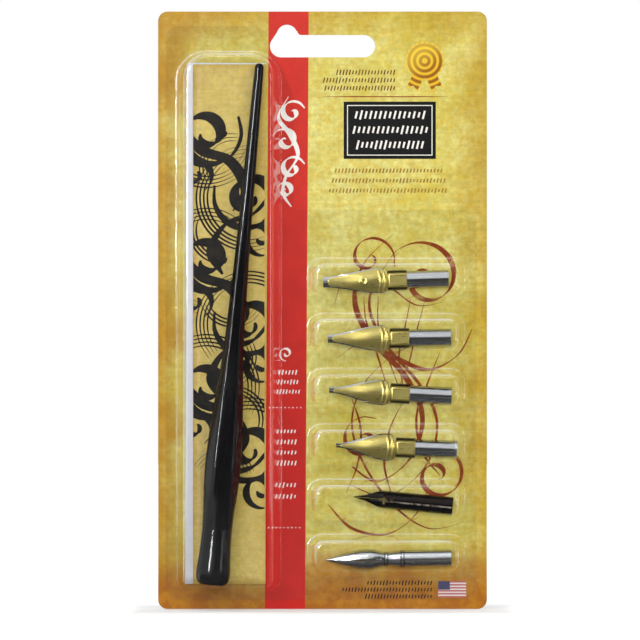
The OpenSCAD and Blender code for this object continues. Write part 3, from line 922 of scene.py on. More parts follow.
def round_outline(count, radius_at, start=0.0):
    """Outline round the seal's middle, as far out at each step as radius_at says, in shares of its radius."""
    outline = []
    for k in range(count):
        turn = math.tau * k / count
        radius = SEAL["r"] * radius_at(k, turn)
        outline.append((
            SEAL["across"] + radius * math.cos(turn + start), SEAL["drop"] + radius * math.sin(turn + start)
        ))
    return outline


def ribbon_outline(lean):
    """Outline of a ribbon tail under the seal, leaning by an angle."""
    cosine = SEAL["r"] * math.cos(lean)
    sine = SEAL["r"] * math.sin(lean)
    tail = ((-0.26, 0.2), (0.26, 0.2), (0.30, 1.62), (0.0, 1.40), (-0.30, 1.62))
    return [
        (SEAL["across"] + u * cosine - v * sine, SEAL["drop"] + u * sine + v * cosine) for u, v in tail
    ]


def printed_shape(work, outline, depth):
    """An outline on the card as a thin printed shape."""
    corners = []
    for across, down in outline:
        x, z = on_card(across, down)
        corners.append(work.verts.new((x, CARD_FRONT - depth, z)))
    back = bmesh.ops.extrude_face_region(work, geom=[work.faces.new(corners)])["geom"]
    for vert in (item for item in back if isinstance(item, bmesh.types.BMVert)):
        vert.co.y = CARD_FRONT - PRINT_GAP


def seal(name, depth):
    """Generic rosette with scalloped edge, a star and two ribbon tails, as thin printed shapes."""
    work = bmesh.new()
    for lean in (-24, 24):
        printed_shape(work, ribbon_outline(math.radians(lean)), depth * 0.5)
    scallops = SEAL["scallops"]
    edge = round_outline(scallops * 8, lambda k, turn: 0.955 + 0.045 * math.cos(scallops * turn))
    printed_shape(work, edge, depth * 0.8)
    star = round_outline(16, lambda k, turn: 0.30 if k % 2 else 0.52, math.pi / 2)
    printed_shape(work, star, depth)
    bmesh.ops.recalc_face_normals(work, faces=work.faces)
    return show_bmesh(name, work, gold_finish(), smooth=False)


def patch_finish(low, high):
    """Red and white stripes with a blue corner."""
    finish = Finish("striped_patch")
    x, y, z = finish.split(finish.place)
    share = finish.math("DIVIDE", finish.minus(high[1], z), high[1] - low[1])
    stripe = finish.math("FRACT", finish.times(share, 5.5))
    pale = finish.mix(finish.noise(900.0, 2.0), tint(228, 214, 208), tint(240, 230, 226))
    tone = finish.mix(finish.under(stripe, 0.5), pale, tint(196, 92, 88))
    left = finish.under(finish.minus(x, low[0]), (high[0] - low[0]) * 0.42)
    corner = finish.times(left, finish.under(share, 0.52))
    return finish.surface(finish.mix(corner, tone, tint(62, 62, 104)), 0.42)


def striped_patch(name, back, front):
    """Small printed patch at the card's foot."""
    low = on_card(*PATCH_LOW)
    high = on_card(*PATCH_HIGH)
    work = bmesh.new()
    box_from(work, (low[0], front, low[1]), (high[0], back, high[1]))
    return show_bmesh(name, work, patch_finish(low, high), smooth=False)


class CALLIGRAPHY_OT_card(bpy.types.Operator):
    """Prints the card: parchment, red band, black plate, flourishes, seal and practice rows"""

    bl_idname = "calligraphy.card"
    bl_label = "Card and its print"

    def execute(self, context):
        settings = context.scene.calligraphy_card
        dress("backing_card", card_finish(settings))
        depth = settings.ink_depth
        back = CARD_FRONT - PRINT_GAP
        front = CARD_FRONT - depth
        middle = (back + front) / 2
        brown = ink_finish("ink_brown", opaque(settings.ink_brown), tint(176, 100, 28), 0.5)
        white = ink_finish("ink_white", tint(244, 238, 230), tint(224, 208, 200), 0.4)
        dark = ink_finish("ink_rows", tint(96, 62, 22), tint(150, 116, 46), 0.6)
        pale = ink_finish("ink_pale_rows", tint(140, 106, 36), tint(184, 150, 62), 0.7)
        black = ink_finish("ink_foot_rows", tint(44, 28, 14), tint(84, 56, 26), 0.6)

        pieces = []
        pen = {"Step": 0.45 * MM, "Pen_angle": math.radians(38), "Fine_share": 0.16}
        pen.update(Back=back, Front=front)
        growth = ink_growth()
        for name, strokes, ink in (
            ("card_flourishes", card_flourishes(), brown), ("band_scrolls", band_scrolls(), white),
        ):
            pieces.append(growth.grow(name, stroke_host(name, strokes, middle), Finish=ink, **pen))
        growth = row_growth()
        practice = {"Slant": math.radians(14), "Depth": depth}
        for name, rows, ink, seed in (
            ("brown_rows", BROWN_ROWS, dark, 3), ("pale_rows", PALE_ROWS, pale, 11),
            ("black_rows", BLACK_ROWS, black, 8), ("white_rows", WHITE_ROWS, white, 5),
        ):
            pieces.append(growth.grow(name, row_host(name, rows, middle), Finish=ink, Seed=seed, **practice))
        pieces.append(seal("gold_seal", depth))
        pieces.append(striped_patch("striped_patch", back, front))
        for piece in pieces:
            settle(piece, "card", "printed_board")
        return {"FINISHED"}


# Leaflet


# Bare paper above the cover's print, and how far the ornament stays inside the cover
COVER_MARGIN = 0.55 * MM
ORNAMENT_LEFT = 0.10 * MM
ORNAMENT_RIGHT = 0.35 * MM
ORNAMENT_FOOT = 0.6 * MM
ORNAMENT_TOP = 1.0 * MM


def leaflet_finish(settings, low, high, cover_y):
    """White paper with a parchment print on the cover."""
    finish = Finish("leaflet_print")
    x, y, z = finish.split(finish.place)
    up = finish.minus(z, low.z)
    across = finish.minus(x, low.x + settings.fold_w)
    to_right = finish.minus(settings.panel_w, across)
    to_top = finish.minus(high.z - low.z, up)
    warp = finish.scaled(finish.noise(60.0, 5.0), 0.012, -0.006)
    near = finish.plus(finish.lowest(across, to_right, up, to_top), warp)
    edge = finish.span(near, -0.004, 0.007, 0.55, 0.0)
    tone = parchment(finish, tint(222, 199, 108), tint(206, 178, 82), edge, tint(190, 144, 62))
    printed = finish.times(
        finish.under(y, cover_y), finish.over(across, 0.0), finish.over(to_top, COVER_MARGIN)
    )
    paper = finish.mix(finish.noise(420.0, 5.0, 0.7), tint(212, 211, 217), tint(231, 230, 236))
    skin = finish.bump(finish.noise(600.0, 4.0, 0.6), 0.015 * MM, 0.5)
    return finish.surface(finish.mix(printed, paper, tone), 0.6, normal=skin)


def leaflet_path(settings):
    """Plan of the folded sheet: back panel first, then each fold and panel in turn, with the cover last."""
    step = settings.paper_t + settings.paper_gap
    fold_r = step / 2
    left = fold_r + settings.paper_t / 2
    right = settings.panel_w + settings.fold_w - left
    level = -settings.paper_t / 2
    path = []

    def panel(start, end, depth):
        path.extend((start + (end - start) * k / 8, depth) for k in range(9))

    def fold(middle, depth, side):
        for k in range(1, 8):
            turn = math.pi * k / 8
            path.append((middle + side * fold_r * math.sin(turn), depth - fold_r + fold_r * math.cos(turn)))

    panel(left, right, level)
    fold(right, level, 1)
    panel(right, left, level - step)
    fold(left, level - step, -1)
    panel(left, right, level - 2 * step)
    fold(right, level - 2 * step, 1)
    panel(right, settings.fold_w, level - 3 * step)
    return path


def leaflet_ornament():
    """Generic black scrollwork of the cover: scrolls at the left and the right, ringed by fine lines."""
    strokes = []
    for index in range(6):
        right = index % 2
        across = 31.0 if right else 16.5
        down = 42.0 + 21.5 * index
        way = -1 if right else 1
        strokes.append((2.1, volute(across, down, 12.5, 200 if right else 330, 1.6 * way, 0.16)))
        strokes.append((1.5, volute(across - 4 * way, down + 13.5, 6.5, 60, -1.3 * way, 0.2)))
        for ring in range(4):
            strokes.append((0.36, arc(across, down, 14.2 + 1.25 * ring, 20 + 40 * index, 210)))
        for ring in range(3):
            strokes.append((0.34, arc(across + 9 * way, down + 11, 9.0 + 1.2 * ring, 150 - 60 * index, 130)))
        for weight, path in (
            (1.9, ((-9, -4), (-2, 5), (8, 9), (13, 18), (9, 26))), (1.7, ((5.4, -0.6), (6, 0), (6.6, 0.6))),
        ):
            strokes.append((weight, [(across + u * way, down + v) for u, v in path]))
    return strokes


def leaflet_surface(settings, low, high):
    """The folded sheet as one surface, leaning a little and fitted to the leaflet's height."""
    turn = settings.turn
    full_h = (high.z - low.z) / math.cos(turn)
    full_w = settings.panel_w + settings.fold_w
    cover_level = -3 * (settings.paper_t + settings.paper_gap)
    rows = 60
    work = bmesh.new()
    grid = []
    for row in range(rows + 1):
        up = full_h * row / rows
        line = []
        for across, level in leaflet_path(settings):
            lean = 0.0 if level < cover_level else 1 - across / full_w
            x = low.x + across + up * math.tan(turn) * lean
            line.append(work.verts.new((x, high.y + level, low.z + up - across * math.sin(turn))))
        grid.append(line)
    woven(work, grid)
    bottom = min(vert.co.z for vert in work.verts)
    top = max(vert.co.z for vert in work.verts)
    for vert in work.verts:
        vert.co.z = low.z + (vert.co.z - bottom) * (high.z - low.z) / (top - bottom)
    return work


class CALLIGRAPHY_OT_leaflet(bpy.types.Operator):
    """Folds the leaflet and prints its cover"""

    bl_idname = "calligraphy.leaflet"
    bl_label = "Leaflet"

    def execute(self, context):
        settings = context.scene.calligraphy_leaflet
        low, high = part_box("leaflet")
        finish = leaflet_finish(settings, low, high, low.y + settings.paper_t * 1.6)
        sheet = show_bmesh("leaflet_sheet", leaflet_surface(settings, low, high), finish)
        walled(sheet, settings.paper_t, 0.0)
        settle(sheet, "leaflet", "leaflet_paper", "leaflet")

        back = low.y - PRINT_GAP
        front = low.y - context.scene.calligraphy_card.ink_depth
        ink = ink_finish("ink_black", opaque(settings.ink_black), tint(60, 48, 34), 0.5)
        host = stroke_host("leaflet_ornament", leaflet_ornament(), (back + front) / 2)
        ornament = ink_growth().grow(
            "leaflet_ornament", host, Step=0.5 * MM, Pen_angle=math.radians(35), Fine_share=0.22, Back=back,
            Front=front, Finish=ink,
        )
        cover_left = low.x + settings.fold_w
        trimmed(ornament, (
            (Vector((cover_left + ORNAMENT_LEFT, 0, 0)), (-1, 0, 0)),
            (Vector((cover_left + settings.panel_w - ORNAMENT_RIGHT, 0, 0)), (1, 0, 0)),
            (Vector((0, 0, low.z + ORNAMENT_FOOT)), (0, 0, -1)),
            (Vector((0, 0, high.z - ORNAMENT_TOP)), (0, 0, 1)),
        ))
        settle(ornament, "leaflet", "leaflet_paper")
        return {"FINISHED"}


# Shell


# Pockets in millimetres: place, width, height, depth, corner rounds and how far the walls slope in
LONG_POCKET = {
    "left": 6.6, "drop": 13.8, "w": 35.1, "h": 183.0, "d": 16.5,
    "top_r": 9.5, "foot_r": 4.0, "slope_x": 2.5, "slope_z": 1.0,
}
SHORT_POCKET = {
    "left": 51.3, "drop": 84.2, "w": 52.8, "h": 14.0, "d": 9.5,
    "top_r": 4.5, "foot_r": 4.5, "slope_x": 2.0, "slope_z": 1.6,
}
SHORT_PITCH = 18.8
SHORT_COUNT = 6
# Corners of the flange: across, down, and 1 where its outline is rounded widely
FLANGE = (
    (2.6, 4.9, 1), (37.3, 4.9, 1), (37.3, 13.6, 0), (39.6, 15.9, 1), (42.3, 19.4, 1), (46.1, 29.0, 1),
    (46.1, 67.5, 0), (108.4, 67.5, 1), (108.4, 200.4, 1), (2.6, 200.4, 1),
)
FLANGE_R = 4.5
FLANGE_INNER_R = 1.2


def short_drop(index):
    """How far down the card a short pocket starts."""
    return SHORT_POCKET["drop"] + SHORT_PITCH * index


def rounded_loop(pocket, drop, in_x, in_z, top_r, foot_r, level, steps=10):
    """A rounded rectangle round a pocket, clockwise from its upper left: across, down and level."""
    left = pocket["left"] + in_x
    right = pocket["left"] + pocket["w"] - in_x
    top = drop + in_z
    foot = drop + pocket["h"] - in_z
    corners = (
        (left + top_r, top + top_r, top_r, 180), (right - top_r, top + top_r, top_r, 270),
        (right - foot_r, foot - foot_r, foot_r, 0), (left + foot_r, foot - foot_r, foot_r, 90),
    )
    loop = []
    for across, down, radius, start in corners:
        for k in range(steps + 1):
            angle = math.radians(start + 90 * k / steps)
            loop.append((across + radius * math.cos(angle), down + radius * math.sin(angle), level))
    return loop


def pocket_loops(pocket, drop, sheet_t, foot_r, edge_r):
    """Loops of a pocket from the flange to its flat front, each with how far it lies in a bend."""
    depth = pocket["d"]
    wall_d = depth - edge_r

    def loop(level, share, extra):
        in_x = pocket["slope_x"] * share + extra
        in_z = pocket["slope_z"] * share + extra
        shrink = max(extra, 0) * 0.5
        grow = max(-extra, 0)
        top = max(1.0, pocket["top_r"] - pocket["slope_x"] * share * 0.6 - shrink) + grow
        foot = max(1.0, pocket["foot_r"] - pocket["slope_x"] * share * 0.4 - shrink) + grow
        return rounded_loop(pocket, drop, in_x, in_z, top, foot, level)

    loops = [(loop(sheet_t, 0, -foot_r - 0.06), 0.0), (loop(sheet_t, 0, -foot_r - 0.01), 0.0)]
    for k in range(0, 7):
        angle = math.radians(90 * k / 6)
        level = sheet_t + foot_r * (1 - math.cos(angle))
        bent = loop(level, 0.9 * level / wall_d * (k / 6), -foot_r * (1 - math.sin(angle)))
        loops.append((bent, math.sin(2 * angle)))
    for k in range(1, 5):
        level = sheet_t + foot_r + (wall_d - sheet_t - foot_r) * k / 5
        loops.append((loop(level, 0.9 * level / wall_d, 0), 0.0))
    for k in range(0, 9):
        angle = math.radians(90 * k / 8)
        bent = loop(wall_d + edge_r * math.sin(angle), 0.9 + 0.1 * k / 8, edge_r * (1 - math.cos(angle)))
        loops.append((bent, math.sin(2 * angle)))
    loops.append((loop(depth, 1, edge_r + 0.12), 0.0))
    return loops


def flange_outline():
    """The flange's outline with its outer corners rounded."""
    outline = []
    count = len(FLANGE)
    for index, (across, down, outer) in enumerate(FLANGE):
        here = Vector((across, down))
        radius = FLANGE_R if outer else FLANGE_INNER_R
        before = (Vector(FLANGE[index - 1][:2]) - here).normalized()
        after = (Vector(FLANGE[(index + 1) % count][:2]) - here).normalized()
        half = before.angle(after) / 2
        reach = radius / math.tan(half)
        middle = here + (before + after).normalized() * radius / math.sin(half)
        first = here + before * reach - middle
        last = here + after * reach - middle
        sweep = first.angle_signed(last)
        for k in range(9):
            turn = -sweep * k / 8
            spot = Vector((
                first.x * math.cos(turn) - first.y * math.sin(turn),
                first.x * math.sin(turn) + first.y * math.cos(turn),
            ))
            outline.append(middle + spot)
    return outline


def inside(spot, loop):
    """True if a place lies inside a closed loop."""
    hit = False
    for (ax, ay), (bx, by) in zip(loop, loop[1:] + loop[:1]):
        if (ay > spot[1]) != (by > spot[1]) and spot[0] < (bx - ax) * (spot[1] - ay) / (by - ay) + ax:
            hit = not hit
    return hit


def shell_finish(settings):
    """Clear sheet: light passes straight through, its edges gleam, and a painted white glint lies on its
    bends that face up and left.
    """
    finish = Finish("clear_sheet_gloss")
    skin = finish.bump(finish.noise(45.0, 3.0, 0.5), 0.9 * MM, 0.12)
    clear = finish.node("ShaderNodeBsdfTransparent", Color=(0.985, 0.99, 0.992, 1))
    gloss = finish.node("ShaderNodeBsdfAnisotropic", Color=grey(1), Roughness=settings.gloss, Normal=skin)
    edge = finish.lowest(finish.node("ShaderNodeFresnel", IOR=1.6, Normal=skin), 0.30)
    outer = finish.minus(1.0, finish.add("ShaderNodeNewGeometry").outputs["Backfacing"])
    sheet = finish.listed("ShaderNodeMixShader", (finish.times(edge, outer), clear, gloss))
    x, y, z = finish.split(finish.facing)
    # Painted glint: white diffuse on the bends, strongest where they face up and left, broken into streaks
    lit = finish.span(finish.scaled(x, -0.6, finish.times(z, 0.8)), 0.1, 0.95, 0.04, 0.70)
    streak = finish.span(finish.noise(32.0, 2.0), 0.35, 0.7, 0.45, 1.0)
    bend = finish.span(finish.carried("bend"), 0.45, 1.0)
    white = finish.node("ShaderNodeBsdfDiffuse", Color=opaque((0.9, 0.9, 0.88)))
    pale = finish.times(lit, streak, bend, outer)
    return finish.close(finish.listed("ShaderNodeMixShader", (pale, sheet, white)))


def shell_surface(settings):
    """Front of the shell: a flange with seven holes, and the rings of a pocket in each of them."""
    sheet_t = settings.sheet_t / MM
    rounds = (sheet_t, settings.foot_r / MM, settings.edge_r / MM)
    pockets = [pocket_loops(LONG_POCKET, LONG_POCKET["drop"], *rounds)]
    pockets.extend(pocket_loops(SHORT_POCKET, short_drop(index), *rounds) for index in range(SHORT_COUNT))
    work = bmesh.new()
    bends = work.verts.layers.float.new("bend")

    def vert(across, down, level, bend=0.0):
        x, z = on_card(across, down)
        made = work.verts.new((x, SHELL_BACK - level * MM, z))
        made[bends] = bend
        return made

    def closed(first, count):
        return [(first + k, first + (k + 1) % count) for k in range(count)]

    outline = [tuple(spot) for spot in flange_outline()]
    spots = [Vector(spot) for spot in outline]
    edges = closed(0, len(outline))
    holes = []
    made = [vert(across, down, sheet_t) for across, down in outline]
    for loops in pockets:
        hole = [(across, down) for across, down, level in loops[0][0]]
        holes.append(hole)
        edges.extend(closed(len(spots), len(hole)))
        spots.extend(Vector(spot) for spot in hole)
        rings = [[vert(*spot, bend) for spot in loop] for loop, bend in loops]
        made.extend(rings[0])
        woven(work, rings, closed=True)
        work.faces.new(rings[-1])
    points, lines, faces, origins, line_origins, face_origins = delaunay_2d_cdt(spots, edges, [], 1, 1e-5)
    for face in faces:
        middle = sum((points[k] for k in face), Vector((0, 0))) / len(face)
        if inside(middle, outline) and not any(inside(middle, hole) for hole in holes):
            work.faces.new([made[origins[k][0]] for k in face])
    faced_front(work, 0.99)
    return work


class CALLIGRAPHY_OT_shell(bpy.types.Operator):
    """Forms the clear shell with its long pocket and six short ones"""

    bl_idname = "calligraphy.shell"
    bl_label = "Blister shell"

    def execute(self, context):
        settings = context.scene.calligraphy_shell
        shell = show_bmesh("shell_sheet", shell_surface(settings), shell_finish(settings))
        walled(shell, settings.sheet_t, -1.0, even=True)
        for face in shell.data.polygons:
            face.use_smooth = abs(face.normal.y) < 0.9995
        settle(shell, "shell", "clear_sheet", "blister_shell")
        return {"FINISHED"}


# Holder


# Distance from the foot and radius over the ridges, in millimetres
HOLDER_SHAPE = (
    (0, 3.6), (0.12, 4.05), (0.5, 4.7), (1.0, 5.15), (1.6, 5.45), (2.4, 5.68), (3.4, 5.8), (4.6, 5.81),
    (6, 5.75), (8, 5.58), (10.3, 5.4), (15.4, 5.2), (19, 5.12), (23.3, 5.28), (28.5, 5.62), (33.5, 5.98),
    (36.8, 6.14), (40, 6.2), (44, 6.12), (48.6, 5.9), (53.3, 5.65), (58.1, 5.35), (66.4, 4.65), (72, 4.1),
    (79, 3.55), (87.2, 3.2), (99.9, 2.85), (111.7, 2.5), (128.5, 2.2), (148.9, 1.95), (170, 1.65),
    (176.4, 1.55), (176.9, 1.5), (177.3, 1.35), (177.6, 1.16), (177.8, 0.95), (177.93, 0.7), (178, 0.45),
    (178, 0.0),
)


# How far up the holder its flats start and end, how far they take to grow and to fade, and where its rim ends
FLATS_START = 22 * MM
FLATS_END = 100 * MM
FLATS_GROW = 14 * MM
FLATS_FADE = 40 * MM
RIM_H = 17 * MM
RIM_R = 3.45 * MM
# Where it rests on the leaflet: height of its belly, belly radius over the flats, and radius near its top
BELLY_UP = 40 * MM
BELLY_R = 6.2 * MM * 0.89
TOP_R = 1.55 * MM
TOP_DOWN = 2 * MM
REST_GAP = 0.3 * MM
# Place of its foot in the long pocket: from the pocket's left side, and up from its foot, in millimetres
FOOT_ACROSS = 11.9
FOOT_UP = 1.8


def flat_radius(growth, radius, turn, height):
    """The turned profile's radius with the flats cut into the belly."""
    flat_turn = growth.math("DIVIDE", math.tau, growth.input("Flats"))
    half_flat = growth.times(flat_turn, 0.5)
    turned = growth.plus(turn, half_flat, growth.input("Turn"))
    to_flat = growth.minus(growth.math("MODULO", turned, flat_turn), half_flat)
    ratio = growth.math("DIVIDE", growth.math("COSINE", half_flat), growth.math("COSINE", to_flat))
    polygon = growth.math("SMOOTH_MIN", 1.0, growth.times(ratio, 1.02), 0.08)
    start = growth.input("Flat_start")
    end = growth.input("Flat_end")
    rise = growth.span(height, start, growth.plus(start, FLATS_GROW))
    fall = growth.span(height, end, growth.plus(end, FLATS_FADE), 1.0, 0.0)
    outside = growth.highest(growth.over(radius, RIM_R), growth.over(height, RIM_H))
    cut = growth.times(rise, fall, outside, growth.minus(1.0, polygon))
    return growth.times(radius, growth.minus(1.0, cut))


def holder_growth():
    """Tree that turns the holder's profile about its axis and flattens its belly into flats."""
    growth = Growth(
        "faceted_holder", Rings="int", Sides="int", Flats="float", Turn="float", Flat_start="float",
        Flat_end="float", Finish="material",
    )
    profile = growth.path()
    grid = growth.node(
        "GeometryNodeMeshGrid", Size_X=1.0, Size_Y=1.0, Vertices_X=growth.plus(growth.input("Sides"), 1.0),
        Vertices_Y=growth.input("Rings"),
    )
    x, y, z = growth.split(growth.node("GeometryNodeInputPosition"))
    sample = growth.add("GeometryNodeSampleCurve", {"mode": "FACTOR", "data_type": "FLOAT_VECTOR"})
    growth.feed(sample.inputs["Curves"], profile)
    growth.feed(sample.inputs["Factor"], growth.plus(y, 0.5))
    radius, depth, height = growth.split(sample.outputs["Position"])
    turn = growth.times(growth.plus(x, 0.5), math.tau)
    reach = flat_radius(growth, radius, turn, height)
    place = growth.join(
        growth.times(reach, growth.math("SINE", turn)),
        growth.times(reach, growth.math("COSINE", turn), -1.0),
        height,
    )
    body = growth.node("GeometryNodeSetPosition", Geometry=grid, Position=place)
    body = growth.node("GeometryNodeMergeByDistance", Geometry=body, Distance=0.0008 * MM)
    growth.close(growth.node("GeometryNodeSetShadeSmooth", Geometry=body, Shade_Smooth=True))
    return growth


def holder_finish(settings):
    """Polished black plastic with faint flow lines along it and fine scratches."""
    finish = Finish("black_plastic_gloss")
    cloud = finish.span(finish.noise(90.0, 4.0, 0.6), 0.35, 0.8, 0.0, 0.5)
    tone = finish.mix(cloud, opaque(settings.black), tint(24, 24, 26))
    along = (0, -settings.lean, 0)
    scratch = finish.noise(1.0, 3.0, 0.6, finish.stretched((2600, 2600, 90), turn=along))
    wave = finish.noise(1.0, 2.0, 0.5, finish.stretched((240, 240, 40), turn=along))
    rough = finish.span(scratch, 0.3, 0.8, 0.07, 0.13)
    skin = finish.bump(wave, 0.05 * MM, 0.6)
    return finish.surface(tone, rough, normal=skin, Specular_IOR_Level=0.22)


def holder_profile(settings):
    """The holder's outline as loose edges: down into its socket, out over its foot and up to its tip."""
    socket_r = settings.socket_r
    socket_d = settings.socket_d
    scale = settings.length / HOLDER_SHAPE[-1][0]
    outline = [(0.0, socket_d), (socket_r * 0.5, socket_d)]
    outline.extend((socket_r, socket_d * share) for share in (1.0, 0.5, 0.0))
    outline.extend((radius * MM, height * scale) for height, radius in HOLDER_SHAPE)
    verts = [(radius, 0, height) for radius, height in outline]
    return line_host("holder", verts, [(k, k + 1) for k in range(len(outline) - 1)])


def holder_place(settings):
    """Where the holder lies: its foot in the long pocket, leaning to the right and back onto the leaflet."""
    tip_back = math.atan((BELLY_R - TOP_R) / (settings.length - TOP_DOWN - BELLY_UP))
    x, z = on_card(LONG_POCKET["left"] + FOOT_ACROSS, LONG_POCKET["drop"] + LONG_POCKET["h"] - FOOT_UP)
    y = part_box("leaflet")[0].y - REST_GAP - BELLY_R - BELLY_UP * math.sin(tip_back)
    turn = Matrix.Rotation(settings.lean, 4, "Y") @ Matrix.Rotation(-tip_back, 4, "X")
    return Matrix.Translation((x, y, z)) @ turn


class CALLIGRAPHY_OT_holder(bpy.types.Operator):
    """Turns the pen holder with its six flats and its nib socket"""

    bl_idname = "calligraphy.holder"
    bl_label = "Pen holder"

    def execute(self, context):
        settings = context.scene.calligraphy_holder
        dress("nib_clip", steel_finish("clip_steel", context.scene.calligraphy_nibs.steel))
        holder = holder_growth().grow(
            "pen_holder", holder_profile(settings), Rings=620, Sides=72, Flats=float(settings.flats),
            Turn=settings.flat_turn, Flat_start=FLATS_START, Flat_end=FLATS_END,
            Finish=holder_finish(settings),
        )
        holder.data.transform(holder_place(settings))
        work = opened(holder)
        bmesh.ops.remove_doubles(work, verts=work.verts, dist=1e-7)
        bmesh.ops.recalc_face_normals(work, faces=work.faces)
        written(work, holder.data)
        settle(holder, "holder", "black_plastic", "holder_body")
        return {"FINISHED"}


# Nibs


# How far the bowl nib's rings lie from its tip, and where the painted shade in the creases beside a ring's
# middle lies
BOWL_RINGS = (20.5 * MM, 26.0 * MM)
CREASE_SHADE_OFF = 0.5 * MM
# Painted highlight line of the pointed nib: how far it lies below the crown, and its fall along the nib in
# degrees
HIGHLIGHT_LINE_DROP = 2.3 * MM
HIGHLIGHT_LINE_FALL = 5.5


def steel_finish(name, colour, dull=0.0, rings=()):
    """Bright drawn steel with marks along the nib, and painted shade in the creases beside its rings."""
    finish = Finish(name)
    drawn = finish.noise(1.0, 4.0, 0.6, finish.stretched((260, 2200, 2600)))
    streak = [0.65 * value for value in colour]
    tone = finish.mix(finish.span(drawn, 0.3, 0.75, 0.0, 0.4), opaque(colour), opaque(streak))
    rough = finish.span(drawn, 0.3, 0.8, 0.08 + dull, 0.15 + dull)
    x, y, z = finish.split(finish.place)
    # Painted shade: near black in the creases beside each ring
    for ring in rings:
        from_crease_shade = finish.apart(finish.apart(x, ring), CREASE_SHADE_OFF)
        crease_shade = finish.span(from_crease_shade, 0.08 * MM, 0.24 * MM, 0.9, 0.0)
        tone = finish.mix(crease_shade, tone, opaque((0.03, 0.03, 0.035)))
    skin = finish.bump(finish.noise(420.0, 2.0, 0.5), 0.04 * MM, 0.5)
    return finish.surface(tone, rough, 1.0, skin)


def brass_finish(name, colour):
    """Bright stamped brass, a little tarnished in places, with painted shade where a part carries it in an
    attribute.
    """
    finish = Finish(name)
    cloud = finish.span(finish.noise(260.0, 3.0, 0.6), 0.35, 0.75, 0.0, 0.35)
    tone = finish.mix(cloud, opaque(colour), opaque((0.46, 0.37, 0.09)))
    # Painted shade: near black where the mesh carries its flank shade attribute
    tone = finish.mix(finish.carried("age"), tone, opaque((0.035, 0.03, 0.02)))
    drawn = finish.noise(1.0, 3.0, 0.6, finish.stretched((300, 1800, 2000)))
    rough = finish.span(drawn, 0.3, 0.8, 0.27, 0.36)
    skin = finish.bump(finish.noise(200.0, 2.0, 0.5), 0.03 * MM, 0.4)
    return finish.surface(tone, rough, 0.84, skin)


def bronze_finish(colour):
    """Dark bronzed steel, worn paler in places, with a painted highlight line just below its crown."""
    finish = Finish("bronze_dark")
    wear = finish.span(finish.noise(380.0, 4.0, 0.65), 0.5, 0.8, 0.0, 0.18)
    tone = finish.mix(wear, opaque(colour), opaque((0.14, 0.105, 0.08)))
    low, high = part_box("pointed_nib")
    x, y, z = finish.split(finish.place)
    along = finish.minus(x, low.x)
    speckle = finish.noise(900.0, 4.0, 0.7)
    # Painted highlight: a pale, less metallic line just below the crown
    fall = finish.scaled(along, math.tan(math.radians(HIGHLIGHT_LINE_FALL)), finish.minus(z, high.z))
    fall = finish.scaled(speckle, 0.5 * MM, fall)
    line = finish.math("ABSOLUTE", finish.plus(fall, HIGHLIGHT_LINE_DROP))
    line = finish.times(
        finish.span(line, 0.10 * MM, 0.46 * MM, 0.9, 0.0),
        finish.span(speckle, 0.36, 0.58, 0.35, 1.0),
        finish.span(along, 4.0 * MM, 12.0 * MM),
    )
    tone = finish.mix(line, tone, opaque((0.50, 0.42, 0.36)))
    rough = finish.span(finish.noise(700.0, 3.0), 0.3, 0.8, 0.14, 0.26)
    skin = finish.bump(finish.noise(300.0, 2.0, 0.5), 0.02 * MM, 0.4)
    return finish.surface(tone, rough, finish.scaled(line, -0.75, 1.0), skin)


def smooth_copy(name, node, finish):
    """A merged, smoothly shaded copy of a CAD node, so that no facet breaks its reflections."""
    piece = show(name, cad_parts[node].data.copy(), finish)
    if "custom_normal" in piece.data.attributes:
        piece.data.attributes.remove(piece.data.attributes["custom_normal"])
    work = opened(piece)
    bmesh.ops.remove_doubles(work, verts=work.verts, dist=1e-6)
    for face in work.faces:
        face.smooth = True
    written(work, piece.data)
    piece.data.set_sharp_from_angle(angle=math.radians(38))
    return piece


# Broad nibs: length, tip width, belly width, gap to the pocket's right end and rise in mm, turn in degrees
NIB_SIZES = {
    "broad_nib_1": (42.7, 3.5, 8.3, 5.2, 0.2, -1.7),
    "broad_nib_2": (41.9, 2.7, 8.8, 4.4, -1.1, -0.5),
    "broad_nib_3": (41.7, 1.8, 8.4, 4.2, -2.2, 2.9),
    "broad_nib_4": (41.2, 1.4, 9.2, 2.4, -1.6, 2.1),
}
# Along a broad nib from its shank's end: belly, both ridges and band. Then its radii and the brass, all in mm
BELLY_X = -23.6
RIDGE_START = -22.8
RIDGE_END = -21.1
BAND_FROM = -20.7
BAND_TO = -14.2
SHANK_R = 3.05
BRASS_T = 0.33
RESERVOIR_R = 7.1
BEND_AXIS = 3.65
# Reservoir: how far it starts behind the blade's tip, and its half widths at the ridges and in the neck
RESERVOIR_BACK = 1.5
RIDGE_HALF_W = 3.25
NECK_HALF_W = 1.8


def eased(share):
    """A share from 0 to 1 with a soft start and a soft end."""
    share = max(0.0, min(1.0, share))
    return share * share * (3 - 2 * share)


def bell(away, width):
    """1 at a place, falling off softly on both sides."""
    return math.exp(-(away / width) ** 2)


def in_pocket(name):
    """Where a broad nib's own frame lies: along the nib from its shank's end, depth and height, in metres."""
    index = BROAD_NIBS.index(name)
    end_gap, rise, turn = NIB_SIZES[name][3:]
    end_x, middle_z = on_card(
        SHORT_POCKET["left"] + SHORT_POCKET["w"] - end_gap, short_drop(index) + SHORT_POCKET["h"] / 2 - rise
    )
    place = Matrix.Translation((end_x, CARD_FRONT - 0.3 * MM, middle_z))
    return place @ Matrix.Rotation(math.radians(turn), 4, "Y") @ Matrix.Scale(MM, 4)


